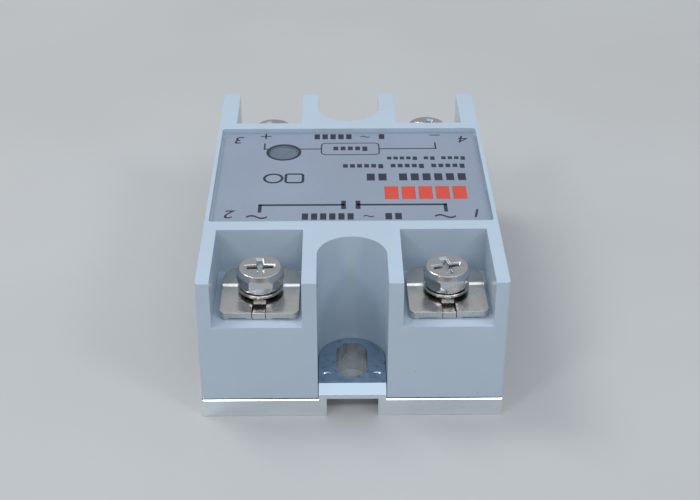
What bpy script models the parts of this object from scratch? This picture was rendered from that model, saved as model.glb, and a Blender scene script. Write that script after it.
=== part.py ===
"""Solid state relay: a moulded casing on a die-cast aluminium base, with four clamp terminals.

Frame: metres, +Z up, origin at the centre of the base's underside. The output end, with terminals
1 and 2, faces -Y. The input end, with terminals 3 and 4, faces +Y. Terminals 1 and 4 are at +X.
"""

import math

import bmesh
import bpy
from mathutils import Matrix, Vector

MM = 0.001
SEAM = 0.1 * MM  # clearance between pieces that touch on the real relay

# Overall sizes
BASE_LENGTH = 62.5 * MM
BASE_WIDTH = 45.0 * MM
BASE_THICK = 3.0 * MM
CASING_TOP = 23.5 * MM
CASING_LENGTH = 62.4 * MM
CASING_FOOT_WIDTH = 44.8 * MM
CASING_HEAD_WIDTH = 44.5 * MM
CASING_CORNER = 0.6 * MM

# Mounting slots in the casing's ends, and the lugs of the base that fill their feet
SLOT_RADIUS = {-1: 5.12 * MM, 1: 5.3 * MM}
SLOT_CENTRE_Y = {-1: -23.5 * MM, 1: 25.66 * MM}
LUG_TOP = 5.05 * MM
LUG_LIP = 3.88 * MM
LUG_CHAMFER_RUN = 1.35 * MM
NOTCH_HALF_WIDTH = 3.83 * MM
NOTCH_HEIGHT = 3.13 * MM
NOTCH_DEPTH = 5.75 * MM
HOLE_RADIUS = 2.36 * MM
OBLONG_HOLE_Y = (-25.94 * MM, -22.06 * MM)  # centres of the oblong hole's two round ends
ROUND_HOLE_Y = 25.0 * MM

# Terminal bays: inner and outer wall faces, floor and the wall towards the middle
BAY_X = {-1: (7.25 * MM, 20.25 * MM), 1: (8.15 * MM, 19.35 * MM)}
BAY_WALL_Y = {-1: -16.3 * MM, 1: 19.6 * MM}
BAY_FLOOR = 16.0 * MM
BAY_FLOOR_THICK = 2.0 * MM

# Chamber inside the casing
CHAMBER_HALF_WIDTH = 20.2 * MM
CHAMBER_HALF_LENGTH = 29.5 * MM
CHAMBER_NOTCH = 6.9 * MM
CHAMBER_NOTCH_Y = {-1: -16.8 * MM, 1: 18.7 * MM}
UPPER_CHAMBER_Y = (-14.6 * MM, 17.9 * MM)
UPPER_CHAMBER_TOP = 21.0 * MM

# Label recess in the top
RECESS_HALF_WIDTH = 21.6 * MM
RECESS_Y = (-13.8 * MM, 17.5 * MM)
RECESS_FLOOR = 22.4 * MM
RECESS_CORNER = 0.5 * MM
LABEL_X = (-21.1 * MM, 21.4 * MM)
LABEL_Y = (-13.55 * MM, 17.2 * MM)
LABEL_THICK = 0.2 * MM
LABEL_CORNER = 1.0 * MM
LED_AT = (-10.98 * MM, 10.33 * MM)
LED_HOLE_RADIUS = 2.5 * MM

# Terminals: number, end, axis x, axis y, height of the spring washer, turn of the screw's cross.
# The screw of terminal 4 is the least tightened, so its washer stands open.
TERMINALS = (
    (1, -1, 13.9 * MM, -23.3 * MM, 0.6 * MM, 13.0),
    (2, -1, -13.45 * MM, -23.3 * MM, 0.6 * MM, -4.0),
    (3, 1, -13.3 * MM, 23.7 * MM, 0.5 * MM, 24.0),
    (4, 1, 13.75 * MM, 23.7 * MM, 0.85 * MM, -17.0),
)
STRIP_HALF = {-1: 5.2 * MM, 1: 3.95 * MM}
STRIP_CORNER = 0.4 * MM
STRIP_THICK = 1.0 * MM
STRIP_POCKET = 1.1 * MM
PILLAR_RADIUS = 3.2 * MM
TAPPED_RADIUS = 2.0 * MM
SCREW_RADIUS = 1.95 * MM
SCREW_LENGTH = 7.8 * MM
SCREW_CHAMFER = 0.6 * MM
HEAD_HEIGHT = 3.05 * MM
HEAD_ACROSS_FLATS = 6.15 * MM
HEAD_DRUM_RADIUS = 3.5 * MM
FLANGE_RADIUS = 3.7 * MM
CROSS_SPAN = 4.8 * MM
CROSS_WIDTH = 1.15 * MM
CROSS_DEPTH = 1.7 * MM
CLAMP_HALF_WIDTH = {-1: 5.75 * MM, 1: 5.0 * MM}
CLAMP_HALF_LENGTH = {-1: 5.9 * MM, 1: 3.95 * MM}
CLAMP_TOP = {-1: 17.72 * MM, 1: 17.17 * MM}
CLAMP_FOOT = BAY_FLOOR + 0.05 * MM
CLAMP_THICK = 1.0 * MM
CLAMP_HEEL = {-1: 1.0 * MM, 1: 0.9 * MM}
CLAMP_CORNER = 0.9 * MM
CLAMP_BORE_RADIUS = 2.3 * MM
TONGUE_HALF_WIDTH = 1.05 * MM
TONGUE_SLIT = 0.24 * MM
TONGUE_ROOT_Y = -3.2 * MM
WASHER_RADIUS = 3.6 * MM
WASHER_BORE_RADIUS = 2.15 * MM
WASHER_EDGE = 0.12 * MM
WASHER_SPLIT = 0.5 * MM
UNDER_WASHER = 0.02 * MM
UNDER_HEAD = 0.04 * MM

# Circuit board and what it carries
BOARD_BOTTOM = 9.0 * MM
BOARD_THICK = 1.6 * MM
BOARD_TOP = BOARD_BOTTOM + BOARD_THICK
LEAD_TIP = BOARD_BOTTOM - 1.0 * MM
LEAD_RADIUS = 0.35 * MM
LEAD_HOLE_RADIUS = 0.6 * MM
AXIAL_PARTS = {  # name: centre x, centre y, body radius, body length, lead span, colour
    "snubber_resistor": (-2.5, -12.0, 2.2, 11.0, 16.0, (0.42, 0.55, 0.62)),
    "input_resistor": (7.0, 15.6, 1.2, 6.5, 10.5, (0.55, 0.43, 0.30)),
    "rectifier_diode": (7.0, 11.6, 1.3, 5.0, 10.5, (0.03, 0.03, 0.03)),
}
CAPACITOR_AT = (-13.0, -7.1)
CAPACITOR_SIZE = (12.5, 5.0, 9.0)
OPTOCOUPLER_AT = (8.0, 5.5)
OPTOCOUPLER_SIZE = (8.6, 6.4, 3.4)
TRANSISTOR_AT = (15.6, 13.0)
TRANSISTOR_RADIUS = 2.4
TRIAC_LEADS_X = (-5.45 * MM, 0.0, 5.45 * MM)
TRIAC_FRONT_Y = -2.0 * MM
TRIAC_LEAD_Y = -4.6 * MM

ROUND_SEGMENTS = 32
SMALL_SEGMENTS = 10
MERGE = 0.000001


# ---------------------------------------------------------------- scene and materials


def clear_scene():
    """Takes every object out of the file."""
    for obj in list(bpy.data.objects):
        bpy.data.objects.remove(obj, do_unlink=True)


def new_collection(name):
    """A new collection in the scene."""
    collection = bpy.data.collections.new(name)
    bpy.context.scene.collection.children.link(collection)
    return collection


def material(name, colour, metallic=0.0, roughness=0.5, alpha=1.0):
    """A plain material of a linear colour."""
    made = bpy.data.materials.new(name)
    made.use_nodes = True
    shader = made.node_tree.nodes["Principled BSDF"]
    shader.inputs["Base Color"].default_value = (*colour, 1.0)
    shader.inputs["Metallic"].default_value = metallic
    shader.inputs["Roughness"].default_value = roughness
    shader.inputs["Alpha"].default_value = alpha
    return made


# ---------------------------------------------------------------- shapes


def mesh_from(bm, name):
    """A mesh of what bm holds, its faces turned outwards."""
    mesh = bpy.data.meshes.new(name)
    bmesh.ops.recalc_face_normals(bm, faces=bm.faces)
    bm.to_mesh(mesh)
    bm.free()
    return mesh


def place(mesh, name, collection, finish=None, at=(0.0, 0.0, 0.0), turn=0.0):
    """A new object of the mesh, at a point and turned about +Z by degrees."""
    obj = bpy.data.objects.new(name, mesh)
    obj.location = at
    obj.rotation_euler.z = math.radians(turn)
    collection.objects.link(obj)
    if finish and not mesh.materials:
        mesh.materials.append(finish)
    if collection is CUTTERS:
        obj.hide_render = True
    return obj


def box_mesh(name, x, y, z):
    """A box between the given (low, high) pairs."""
    bm = bmesh.new()
    bmesh.ops.create_cube(bm, size=1.0)
    size = Vector((x[1] - x[0], y[1] - y[0], z[1] - z[0]))
    middle = Vector((x[0] + x[1], y[0] + y[1], z[0] + z[1])) / 2
    bmesh.ops.scale(bm, vec=size, verts=bm.verts)
    bmesh.ops.translate(bm, vec=middle, verts=bm.verts)
    return mesh_from(bm, name)


def tapered_box_mesh(name, foot, head, z):
    """A box whose half sizes are foot at the bottom and head at the top."""
    bm = bmesh.new()
    bmesh.ops.create_cube(bm, size=2.0)
    for vert in bm.verts:
        half = head if vert.co.z > 0 else foot
        height = z[1] if vert.co.z > 0 else z[0]
        vert.co = Vector((vert.co.x * half[0], vert.co.y * half[1], height))
    return mesh_from(bm, name)


def add_cylinder(bm, x, y, radius, z, segments):
    """Adds an upright cylinder between the heights in z to bm."""
    place_at = Matrix.Translation((x, y, (z[0] + z[1]) / 2))
    bmesh.ops.create_cone(bm, cap_ends=True, segments=segments, radius1=radius, radius2=radius,
                          depth=z[1] - z[0], matrix=place_at)


def cylinder_mesh(name, x, y, radius, z, segments=ROUND_SEGMENTS):
    """An upright cylinder between the heights in z."""
    bm = bmesh.new()
    add_cylinder(bm, x, y, radius, z, segments)
    return mesh_from(bm, name)


def stadium_mesh(name, radius, y, z, segments=ROUND_SEGMENTS):
    """An upright prism with two round ends, centred on x = 0, whose end centres are at the two y."""
    bm = bmesh.new()
    full = radius / math.cos(math.pi / segments)
    add_cylinder(bm, 0.0, 0.0, full, z, segments)
    bmesh.ops.rotate(bm, cent=(0, 0, 0), matrix=Matrix.Rotation(math.pi / segments, 3, "Z"), verts=bm.verts)
    for vert in bm.verts:
        vert.co.y += y[0] if vert.co.y < 0 else y[1]
    return mesh_from(bm, name)


def outline_mesh(name, points, depth, facing="Z"):
    """A flat outline given depth, centred on its plane. Facing X its points are (y, z), facing Y (x, z)."""
    curve = bpy.data.curves.new(name, "CURVE")
    curve.dimensions = "2D"
    curve.fill_mode = "BOTH"
    curve.extrude = depth / 2
    spline = curve.splines.new("POLY")
    spline.points.add(len(points) - 1)
    for slot, (u, v) in zip(spline.points, points):
        slot.co = (u, v, 0.0, 1.0)
    spline.use_cyclic_u = True
    guide = bpy.data.objects.new(name, curve)
    CUTTERS.objects.link(guide)
    bpy.context.view_layer.update()
    solid = bpy.data.meshes.new_from_object(guide.evaluated_get(bpy.context.evaluated_depsgraph_get()))
    bpy.data.objects.remove(guide, do_unlink=True)
    bm = bmesh.new()
    bm.from_mesh(solid)
    bmesh.ops.remove_doubles(bm, verts=bm.verts, dist=MERGE)
    bmesh.ops.dissolve_limit(bm, angle_limit=0.001, verts=bm.verts, edges=bm.edges)
    if facing == "X":
        turned = Matrix(((0, 0, 1), (1, 0, 0), (0, 1, 0)))
        bmesh.ops.transform(bm, matrix=turned.to_4x4(), verts=bm.verts)
    elif facing == "Y":
        bmesh.ops.rotate(bm, cent=(0, 0, 0), matrix=Matrix.Rotation(math.pi / 2, 3, "X"), verts=bm.verts)
    return mesh_from(bm, name)


def turned(name, profile, collection, finish=None, steps=ROUND_SEGMENTS, closed=False):
    """A turned piece about its own Z: profile is (radius, z) from the top, down the outer side."""
    mesh = bpy.data.meshes.new(name)
    count = len(profile)
    edges = [(i, i + 1) for i in range(count - 1)] + ([(count - 1, 0)] if closed else [])
    mesh.from_pydata([(r, 0.0, z) for r, z in profile], edges, [])
    obj = place(mesh, name, collection, finish)
    screw = obj.modifiers.new("turn", "SCREW")
    screw.axis = "Z"
    screw.steps = screw.render_steps = steps
    screw.use_merge_vertices = True
    screw.merge_threshold = MERGE
    screw.use_smooth_shade = False
    return obj


def capsule_wire(name, points, radius):
    """A round wire along the points, as a closed mesh."""
    curve = bpy.data.curves.new(name, "CURVE")
    curve.dimensions = "3D"
    curve.bevel_depth = radius
    curve.bevel_resolution = 1
    curve.use_fill_caps = True
    spline = curve.splines.new("POLY")
    spline.points.add(len(points) - 1)
    for slot, point in zip(spline.points, points):
        slot.co = (*point, 1.0)
    guide = bpy.data.objects.new(name, curve)
    CUTTERS.objects.link(guide)
    bpy.context.view_layer.update()
    solid = bpy.data.meshes.new_from_object(guide.evaluated_get(bpy.context.evaluated_depsgraph_get()))
    bpy.data.objects.remove(guide, do_unlink=True)
    bm = bmesh.new()
    bm.from_mesh(solid)
    bmesh.ops.remove_doubles(bm, verts=bm.verts, dist=MERGE)
    return mesh_from(bm, name)


# ---------------------------------------------------------------- modifiers


def boolean(obj, mesh, operation="DIFFERENCE", at=(0.0, 0.0, 0.0), turn=0.0):
    """Cut or join the object with a mesh that becomes a hidden cutter object."""
    cutter = place(mesh, f"{obj.name}_tool", CUTTERS, at=at, turn=turn)
    step = obj.modifiers.new(operation.lower(), "BOOLEAN")
    step.operation = operation
    step.solver = "EXACT"
    step.object = cutter
    return cutter


def bevel(obj, width, segments=2, angle=30.0):
    """Rounds the edges whose faces meet at more than an angle."""
    step = obj.modifiers.new("bevel", "BEVEL")
    step.width = width
    step.segments = segments
    step.limit_method = "ANGLE"
    step.angle_limit = math.radians(angle)
    return step


def bevelled_uprights(mesh, width, segments=3):
    """Round the mesh's upright edges in place."""
    bm = bmesh.new()
    bm.from_mesh(mesh)
    uprights = [e for e in bm.edges if abs(e.verts[0].co.z - e.verts[1].co.z) > 0.9 * e.calc_length()]
    bmesh.ops.bevel(bm, geom=uprights, offset=width, segments=segments, profile=0.5, affect="EDGES")
    bm.to_mesh(mesh)
    bm.free()
    return mesh


def bake(obj):
    """The object's finished mesh, smooth where it is round. The object and its tools go away."""
    bpy.context.view_layer.update()
    mesh = bpy.data.meshes.new_from_object(obj.evaluated_get(bpy.context.evaluated_depsgraph_get()))
    tools = [step.object for step in obj.modifiers if step.type == "BOOLEAN"]
    for spent in [obj, *tools]:
        bpy.data.objects.remove(spent, do_unlink=True)
    mesh.shade_smooth()
    mesh.set_sharp_from_angle(angle=math.radians(35))
    return mesh


# ---------------------------------------------------------------- base


def base_plate(finish):
    """The die-cast plate with a lug at each end, notched under its lip, holed for the mounting screws."""
    plate = place(
        bevelled_uprights(
            box_mesh("base_plate", (-BASE_WIDTH / 2, BASE_WIDTH / 2), (-BASE_LENGTH / 2, BASE_LENGTH / 2),
                     (0.0, BASE_THICK)), 0.5 * MM),
        "base_plate", PARTS, finish)
    bevel(plate, 0.15 * MM, segments=1, angle=60.0)
    for end in (-1, 1):
        boolean(plate, lug_mesh(end), "UNION")
        outer = end * (BASE_LENGTH / 2 + 1 * MM)
        inner = end * (BASE_LENGTH / 2 - NOTCH_DEPTH)
        boolean(plate, box_mesh("notch", (-NOTCH_HALF_WIDTH, NOTCH_HALF_WIDTH), sorted((outer, inner)),
                                (-1 * MM, NOTCH_HEIGHT)))
        boolean(plate, lip_wedge_mesh(end))
    through = (-1 * MM, LUG_TOP + 1 * MM)
    boolean(plate, stadium_mesh("oblong_hole", HOLE_RADIUS, OBLONG_HOLE_Y, through, 24))
    boolean(plate, cylinder_mesh("round_hole", 0.0, ROUND_HOLE_Y, HOLE_RADIUS, through, 24))
    return plate


def lug_mesh(end):
    """The raised lug, round towards the middle, that stands in the casing's slot."""
    radius = SLOT_RADIUS[end] - SEAM
    segments = ROUND_SEGMENTS
    bm = bmesh.new()
    add_cylinder(bm, 0.0, 0.0, radius / math.cos(math.pi / segments), (1 * MM, LUG_TOP), segments)
    bmesh.ops.rotate(bm, cent=(0, 0, 0), matrix=Matrix.Rotation(math.pi / segments, 3, "Z"), verts=bm.verts)
    reach = abs(BASE_LENGTH / 2 - abs(SLOT_CENTRE_Y[end]))
    outer = [v for v in bm.verts if v.co.y * end > 0]
    for vert in outer:
        vert.co.y = end * reach
    bmesh.ops.translate(bm, vec=(0.0, SLOT_CENTRE_Y[end], 0.0), verts=bm.verts)
    bmesh.ops.remove_doubles(bm, verts=bm.verts, dist=MERGE)
    bmesh.ops.dissolve_limit(bm, angle_limit=0.01, verts=bm.verts, edges=bm.edges)
    return mesh_from(bm, "lug")


def lip_wedge_mesh(end):
    """What the lug's sloping end takes away, from its lip up to its top."""
    outer = BASE_LENGTH / 2
    slope = (LUG_TOP - LUG_LIP) / LUG_CHAMFER_RUN
    over = 1 * MM
    points = [(end * (outer + over), LUG_LIP - slope * over), (end * (outer + over), LUG_TOP + over),
              (end * (outer - LUG_CHAMFER_RUN - over / slope), LUG_TOP + over)]
    return outline_mesh("lip_wedge", points, 3 * SLOT_RADIUS[end], facing="X")


def h_outline(inset):
    """The chamber's plan: a rectangle notched at both ends round the mounting slots, moved in by inset."""
    x, y = CHAMBER_HALF_WIDTH - inset, CHAMBER_HALF_LENGTH - inset
    n = CHAMBER_NOTCH + inset
    front, rear = CHAMBER_NOTCH_Y[-1] + inset, CHAMBER_NOTCH_Y[1] - inset
    return [(-x, -y), (-n, -y), (-n, front), (n, front), (n, -y), (x, -y),
            (x, y), (n, y), (n, rear), (-n, rear), (-n, y), (-x, y)]


def base_seal(finish):
    """The bead of sealant that runs round the foot of the chamber, inside the casing's wall."""
    low, high = BASE_THICK + SEAM, BASE_THICK + 0.7 * MM
    seal = place(outline_mesh("base_seal", h_outline(SEAM), high - low), "base_seal", PARTS, finish,
                 at=(0, 0, (low + high) / 2))
    boolean(seal, outline_mesh("bead_inside", h_outline(1.1 * MM), 4 * MM), at=(0, 0, low))
    return seal


# ---------------------------------------------------------------- casing


def casing(finish):
    """The moulded shell: two bays and a mounting slot at each end, and a recess for the label on top."""
    foot = BASE_THICK + SEAM
    shell = place(
        bevelled_uprights(
            tapered_box_mesh("casing", (CASING_FOOT_WIDTH / 2, CASING_LENGTH / 2),
                             (CASING_HEAD_WIDTH / 2, CASING_LENGTH / 2 - 0.1 * MM), (foot, CASING_TOP)),
            CASING_CORNER),
        "casing", PARTS, finish)
    above = CASING_TOP + 1 * MM
    for end in (-1, 1):
        outer_y = end * (CASING_LENGTH / 2 + 1 * MM)
        slot_y = sorted((SLOT_CENTRE_Y[end], end * (BASE_LENGTH / 2 + 8 * MM)))
        boolean(shell, stadium_mesh("slot", SLOT_RADIUS[end], slot_y, (foot - 1 * MM, above)))
        for side in (-1, 1):
            bay_x = sorted(side * x for x in BAY_X[end])
            bay_y = sorted((BAY_WALL_Y[end], outer_y))
            boolean(shell, box_mesh("bay", bay_x, bay_y, (BAY_FLOOR, above)))
    for _, end, x, y, _, _ in TERMINALS:
        half = STRIP_HALF[end] + SEAM
        boolean(shell, box_mesh("pocket", (x - half, x + half), (y - half, y + half),
                                (BAY_FLOOR - STRIP_POCKET, BAY_FLOOR + MM)))
        boolean(shell, cylinder_mesh("pillar_hole", x, y, PILLAR_RADIUS + 2 * SEAM,
                                     (BAY_FLOOR - BAY_FLOOR_THICK - 1 * MM, BAY_FLOOR)))
    boolean(shell, outline_mesh("chamber", h_outline(0.0), 20 * MM),
            at=(0, 0, BAY_FLOOR - BAY_FLOOR_THICK - 10 * MM))
    boolean(shell, box_mesh("upper_chamber", (-CHAMBER_HALF_WIDTH, CHAMBER_HALF_WIDTH), UPPER_CHAMBER_Y,
                            (BAY_FLOOR - BAY_FLOOR_THICK - 5 * MM, UPPER_CHAMBER_TOP)))
    boolean(shell, bevelled_uprights(
        box_mesh("recess", (-RECESS_HALF_WIDTH, RECESS_HALF_WIDTH), RECESS_Y, (RECESS_FLOOR, above)),
        RECESS_CORNER))
    boolean(shell, cylinder_mesh("led_hole", *LED_AT, LED_HOLE_RADIUS, (UPPER_CHAMBER_TOP - MM, above), 24))
    return shell


def label_plate(finish):
    """The rating label: a thin sheet in the recess, holed for the indicator window."""
    low = RECESS_FLOOR + 0.05 * MM
    sheet = place(
        bevelled_uprights(box_mesh("label_plate", LABEL_X, LABEL_Y, (low, low + LABEL_THICK)), LABEL_CORNER),
        "label_plate", PARTS, finish)
    boolean(sheet, cylinder_mesh("window_hole", *LED_AT, LED_HOLE_RADIUS, (low - MM, low + MM), 24))
    return sheet


def led_window(finish):
    """The translucent plug over the indicator, flush with the label."""
    top = RECESS_FLOOR + LABEL_THICK
    radius = LED_HOLE_RADIUS - SEAM
    edge, low = 0.15 * MM, top - 1.1 * MM
    profile = [(0, top), (radius - edge, top), (radius, top - edge), (radius, low), (0, low)]
    window = turned("led_window", profile, PARTS, finish, steps=24)
    window.location = (*LED_AT, 0.0)
    return window


# ---------------------------------------------------------------- terminals


def terminal_mesh(end):
    """A square strip with a tapped pillar under it, about the screw's axis."""
    half, top = STRIP_HALF[end], BAY_FLOOR - SEAM / 2
    square = box_mesh("strip", (-half, half), (-half, half), (top - STRIP_THICK, top))
    strip = place(bevelled_uprights(square, STRIP_CORNER, 1), "strip", PARTS)
    pillar = (BOARD_TOP + SEAM, top - STRIP_THICK / 2)
    boolean(strip, cylinder_mesh("pillar", 0, 0, PILLAR_RADIUS, pillar), "UNION")
    boolean(strip, cylinder_mesh("thread", 0, 0, TAPPED_RADIUS, (BOARD_BOTTOM, top + MM)))
    return bake(strip)


def clamp_from(end, side):
    """A pressed clamp about the screw's axis: its side view cut to its plan and holed for the screw."""
    width, length = CLAMP_HALF_WIDTH[end], CLAMP_HALF_LENGTH[end]
    tall = (BAY_FLOOR - MM, CLAMP_TOP[end] + MM)
    clamp = place(outline_mesh("clamp", side, 2 * width, facing="X"), "clamp", PARTS)
    plan = box_mesh("plan", (-width, width), (-length, length), tall)
    boolean(clamp, bevelled_uprights(plan, CLAMP_CORNER), "INTERSECT")
    boolean(clamp, cylinder_mesh("clearance", 0, 0, CLAMP_BORE_RADIUS, tall, 24))
    return clamp


def output_clamp_mesh():
    """The clamp of an output terminal: its front half dips towards the wire, and holds a tongue."""
    length, top, heel = CLAMP_HALF_LENGTH[-1], CLAMP_TOP[-1], CLAMP_HEEL[-1]
    step_y, lip, step_top = 0.8 * MM, 0.7 * MM, top - 0.27 * MM
    side = [(-length, CLAMP_FOOT), (step_y, step_top - CLAMP_THICK), (step_y + lip, top - CLAMP_THICK),
            (length - heel, top - CLAMP_THICK), (length - heel, CLAMP_FOOT), (length, CLAMP_FOOT),
            (length, top), (step_y + 0.15 * MM, top), (step_y, step_top), (-length, CLAMP_FOOT + 0.95 * MM)]
    clamp = clamp_from(-1, side)
    for edge in (-TONGUE_HALF_WIDTH, TONGUE_HALF_WIDTH):
        boolean(clamp, box_mesh("slit", (edge - TONGUE_SLIT / 2, edge + TONGUE_SLIT / 2),
                                (-length - MM, TONGUE_ROOT_Y), (BAY_FLOOR - MM, top + MM)))
    return bake(clamp)


def input_clamp_mesh():
    """The clamp of an input terminal, with a heel at its inner edge that rests on the strip."""
    length, top, heel = CLAMP_HALF_LENGTH[1], CLAMP_TOP[1], CLAMP_HEEL[1]
    lip, slope = CLAMP_FOOT + 0.9 * MM, 1.4 * MM
    side = [(length, CLAMP_FOOT), (length, lip), (length - slope, top), (-length, top), (-length, CLAMP_FOOT),
            (-length + heel, CLAMP_FOOT), (-length + heel, top - CLAMP_THICK),
            (length - slope - 0.2 * MM, top - CLAMP_THICK)]
    return bake(clamp_from(1, side))


def washer_mesh(height):
    """A split spring washer of some height, its foot at z = 0."""
    profile = [(WASHER_BORE_RADIUS, height), (WASHER_RADIUS - WASHER_EDGE, height),
               (WASHER_RADIUS, height - WASHER_EDGE), (WASHER_RADIUS, WASHER_EDGE),
               (WASHER_RADIUS - WASHER_EDGE, 0.0), (WASHER_BORE_RADIUS, 0.0)]
    washer = turned("washer", profile, PARTS, steps=24, closed=True)
    split = box_mesh("split", (-WASHER_SPLIT / 2, WASHER_SPLIT / 2), (1 * MM, 5 * MM), (-MM, height + MM))
    boolean(washer, split, turn=35.0)
    return bake(washer)


def screw_mesh():
    """The captive terminal screw: a flanged six-sided head with a cross recess. Under its head z = 0."""
    top, tip, flange = HEAD_HEIGHT, -SCREW_LENGTH, 0.45 * MM
    crown = 0.4 * MM
    profile = [(0, top), (HEAD_DRUM_RADIUS - crown, top), (HEAD_DRUM_RADIUS, top - crown),
               (HEAD_DRUM_RADIUS, flange + 0.3 * MM), (FLANGE_RADIUS, flange),
               (FLANGE_RADIUS, 0.0), (SCREW_RADIUS, 0.0),
               (SCREW_RADIUS, tip + SCREW_CHAMFER), (SCREW_RADIUS - SCREW_CHAMFER, tip), (0, tip)]
    screw = turned("screw", profile, PARTS)
    inner = HEAD_ACROSS_FLATS / 2 / math.cos(math.pi / 6)
    low, high, outer = flange + 0.15 * MM, top + MM, inner + 3 * MM
    corners = [(inner, high), (outer, high), (outer, low), (inner, low)]
    ring = turned("flats", corners, CUTTERS, steps=6, closed=True)
    boolean(screw, bake(ring))
    for turn in (0.0, 90.0):
        foot, head = (0.6 * MM, 0.3 * MM), (CROSS_SPAN / 2 + 0.1 * MM, CROSS_WIDTH / 2)
        arm = tapered_box_mesh("arm", foot, head, (top - CROSS_DEPTH, top + 0.1 * MM))
        boolean(screw, arm, turn=turn)
    return bake(screw)


def terminals(nickel, brass, steel):
    """The four terminals: a tapped strip in the bay's floor with a clamp, a spring washer and a screw."""
    strips = {end: terminal_mesh(end) for end in (-1, 1)}
    clamps = {-1: output_clamp_mesh(), 1: input_clamp_mesh()}
    heights = {row[4] for row in TERMINALS}
    washers = {height: washer_mesh(height) for height in heights}
    screw = screw_mesh()
    for number, end, x, y, height, turn in TERMINALS:
        side = "output" if end < 0 else "input"
        washer_foot = CLAMP_TOP[end] + UNDER_WASHER
        place(strips[end], f"{side}_terminal_{number}", PARTS, brass, at=(x, y, 0))
        place(clamps[end], f"wire_clamp_{number}", PARTS, nickel, at=(x, y, 0))
        place(washers[height], f"spring_washer_{number}", PARTS, steel, at=(x, y, washer_foot))
        under_head = washer_foot + height + UNDER_HEAD
        place(screw, f"terminal_screw_{number}", PARTS, nickel, at=(x, y, under_head), turn=turn)


# ---------------------------------------------------------------- inside


def lead_pairs():
    """Where every lead passes through the board, as (x, y)."""
    spots = []
    for x, y, _, _, span, _ in AXIAL_PARTS.values():
        spots += [((x - span / 2) * MM, y * MM), ((x + span / 2) * MM, y * MM)]
    x, y = CAPACITOR_AT
    spots += [((x - 5.0) * MM, y * MM), ((x + 5.0) * MM, y * MM)]
    x, y = OPTOCOUPLER_AT
    spots += [((x + side * 3.81) * MM, (y + row * 2.54) * MM) for side in (-1, 1) for row in (-1, 0, 1)]
    x, y = TRANSISTOR_AT
    spots += [(x * MM, (y + row * 1.6) * MM) for row in (-1, 0, 1)]
    spots += [(LED_AT[0] + side * 1.27 * MM, LED_AT[1]) for side in (-1, 1)]
    return spots


def circuit_board(finish):
    """The board, notched round the mounting slots, drilled for every lead and for the screws' tips."""
    board = place(outline_mesh("circuit_board", h_outline(0.3 * MM), BOARD_THICK), "circuit_board", PARTS,
                  finish, at=(0, 0, BOARD_BOTTOM + BOARD_THICK / 2))
    bm = bmesh.new()
    through = (BOARD_BOTTOM - MM, BOARD_TOP + MM)
    for x, y in lead_pairs():
        add_cylinder(bm, x, y, LEAD_HOLE_RADIUS, through, 8)
    for x in TRIAC_LEADS_X:
        add_cylinder(bm, x, TRIAC_LEAD_Y, 1.0 * MM, through, 8)
    for _, _, x, y, _, _ in TERMINALS:
        add_cylinder(bm, x, y, 2.4 * MM, through, 16)
    boolean(board, mesh_from(bm, "drills"))
    return board


def triac(body_finish, copper, ceramic, tin):
    """The power switch: a ceramic insulator on the base, the triac's tab and body, and its three leads."""
    low = BASE_THICK + SEAM
    place(box_mesh("ceramic_insulator", (-10 * MM, 10 * MM), (-4 * MM, 16 * MM), (low, low + 0.6 * MM)),
          "ceramic_insulator", PARTS, ceramic)
    tab_low = low + 0.6 * MM + SEAM
    tab_block = box_mesh("triac_tab", (-7.8 * MM, 7.8 * MM), (-1 * MM, 15 * MM), (tab_low, tab_low + 1.0 * MM))
    tab = place(bevelled_uprights(tab_block, 0.5 * MM, 1), "triac_tab", PARTS, copper)
    boolean(tab, cylinder_mesh("tab_hole", 0, 12 * MM, 1.6 * MM, (0, 9 * MM), 16))
    body_low = tab_low + 1.0 * MM + SEAM
    body = place(box_mesh("triac_body", (-7.8 * MM, 7.8 * MM), (TRIAC_FRONT_Y, 9 * MM),
                          (body_low, body_low + 2.8 * MM)), "triac_body", PARTS, body_finish)
    bevel(body, 0.3 * MM, segments=1)
    names = ("triac_lead_1", "triac_lead_2", "triac_gate_lead")
    middle = body_low + 1.0 * MM
    front, thick = TRIAC_FRONT_Y - SEAM, 0.5 * MM
    for name, x in zip(names, TRIAC_LEADS_X):
        half = thick / 2
        side = [(front, middle - half), (front, middle + half), (TRIAC_LEAD_Y + half, middle + half),
                (TRIAC_LEAD_Y + half, BOARD_TOP + 0.8 * MM), (TRIAC_LEAD_Y - half, BOARD_TOP + 0.8 * MM),
                (TRIAC_LEAD_Y - half, middle - half)]
        place(outline_mesh(name, side, 1.1 * MM, facing="X"), name, PARTS, tin, at=(x, 0, 0))


def axial_part(name, x, y, radius, length, span, colour):
    """A resistor or diode that lies along X with its leads bent down through the board."""
    centre = Vector((x * MM, y * MM, BOARD_TOP + (radius + 0.4) * MM))
    half, r = length * MM / 2, radius * MM
    profile = [(0, half), (0.8 * r, half), (r, half - 0.25 * r), (r, 0.55 * half),
               (0.92 * r, 0.45 * half), (0.92 * r, -0.45 * half),
               (r, -0.55 * half), (r, -half + 0.25 * r), (0.8 * r, -half), (0, -half)]
    part = turned(name, profile, PARTS, material(name, colour, 0.0, 0.4), steps=16)
    part.rotation_euler.y = math.pi / 2
    part.location = centre
    reach = span * MM / 2
    wire = [(-reach, 0, LEAD_TIP - centre.z), (-reach, 0, 0), (reach, 0, 0), (reach, 0, LEAD_TIP - centre.z)]
    boolean(part, capsule_wire("leads", wire, LEAD_RADIUS), "UNION", at=centre)
    return part


def leads_down(part, spots, top):
    """Join straight leads to a part, from its foot through the board."""
    for x, y in spots:
        boolean(part, cylinder_mesh("lead", x, y, LEAD_RADIUS, (LEAD_TIP, top), SMALL_SEGMENTS), "UNION")


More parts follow.
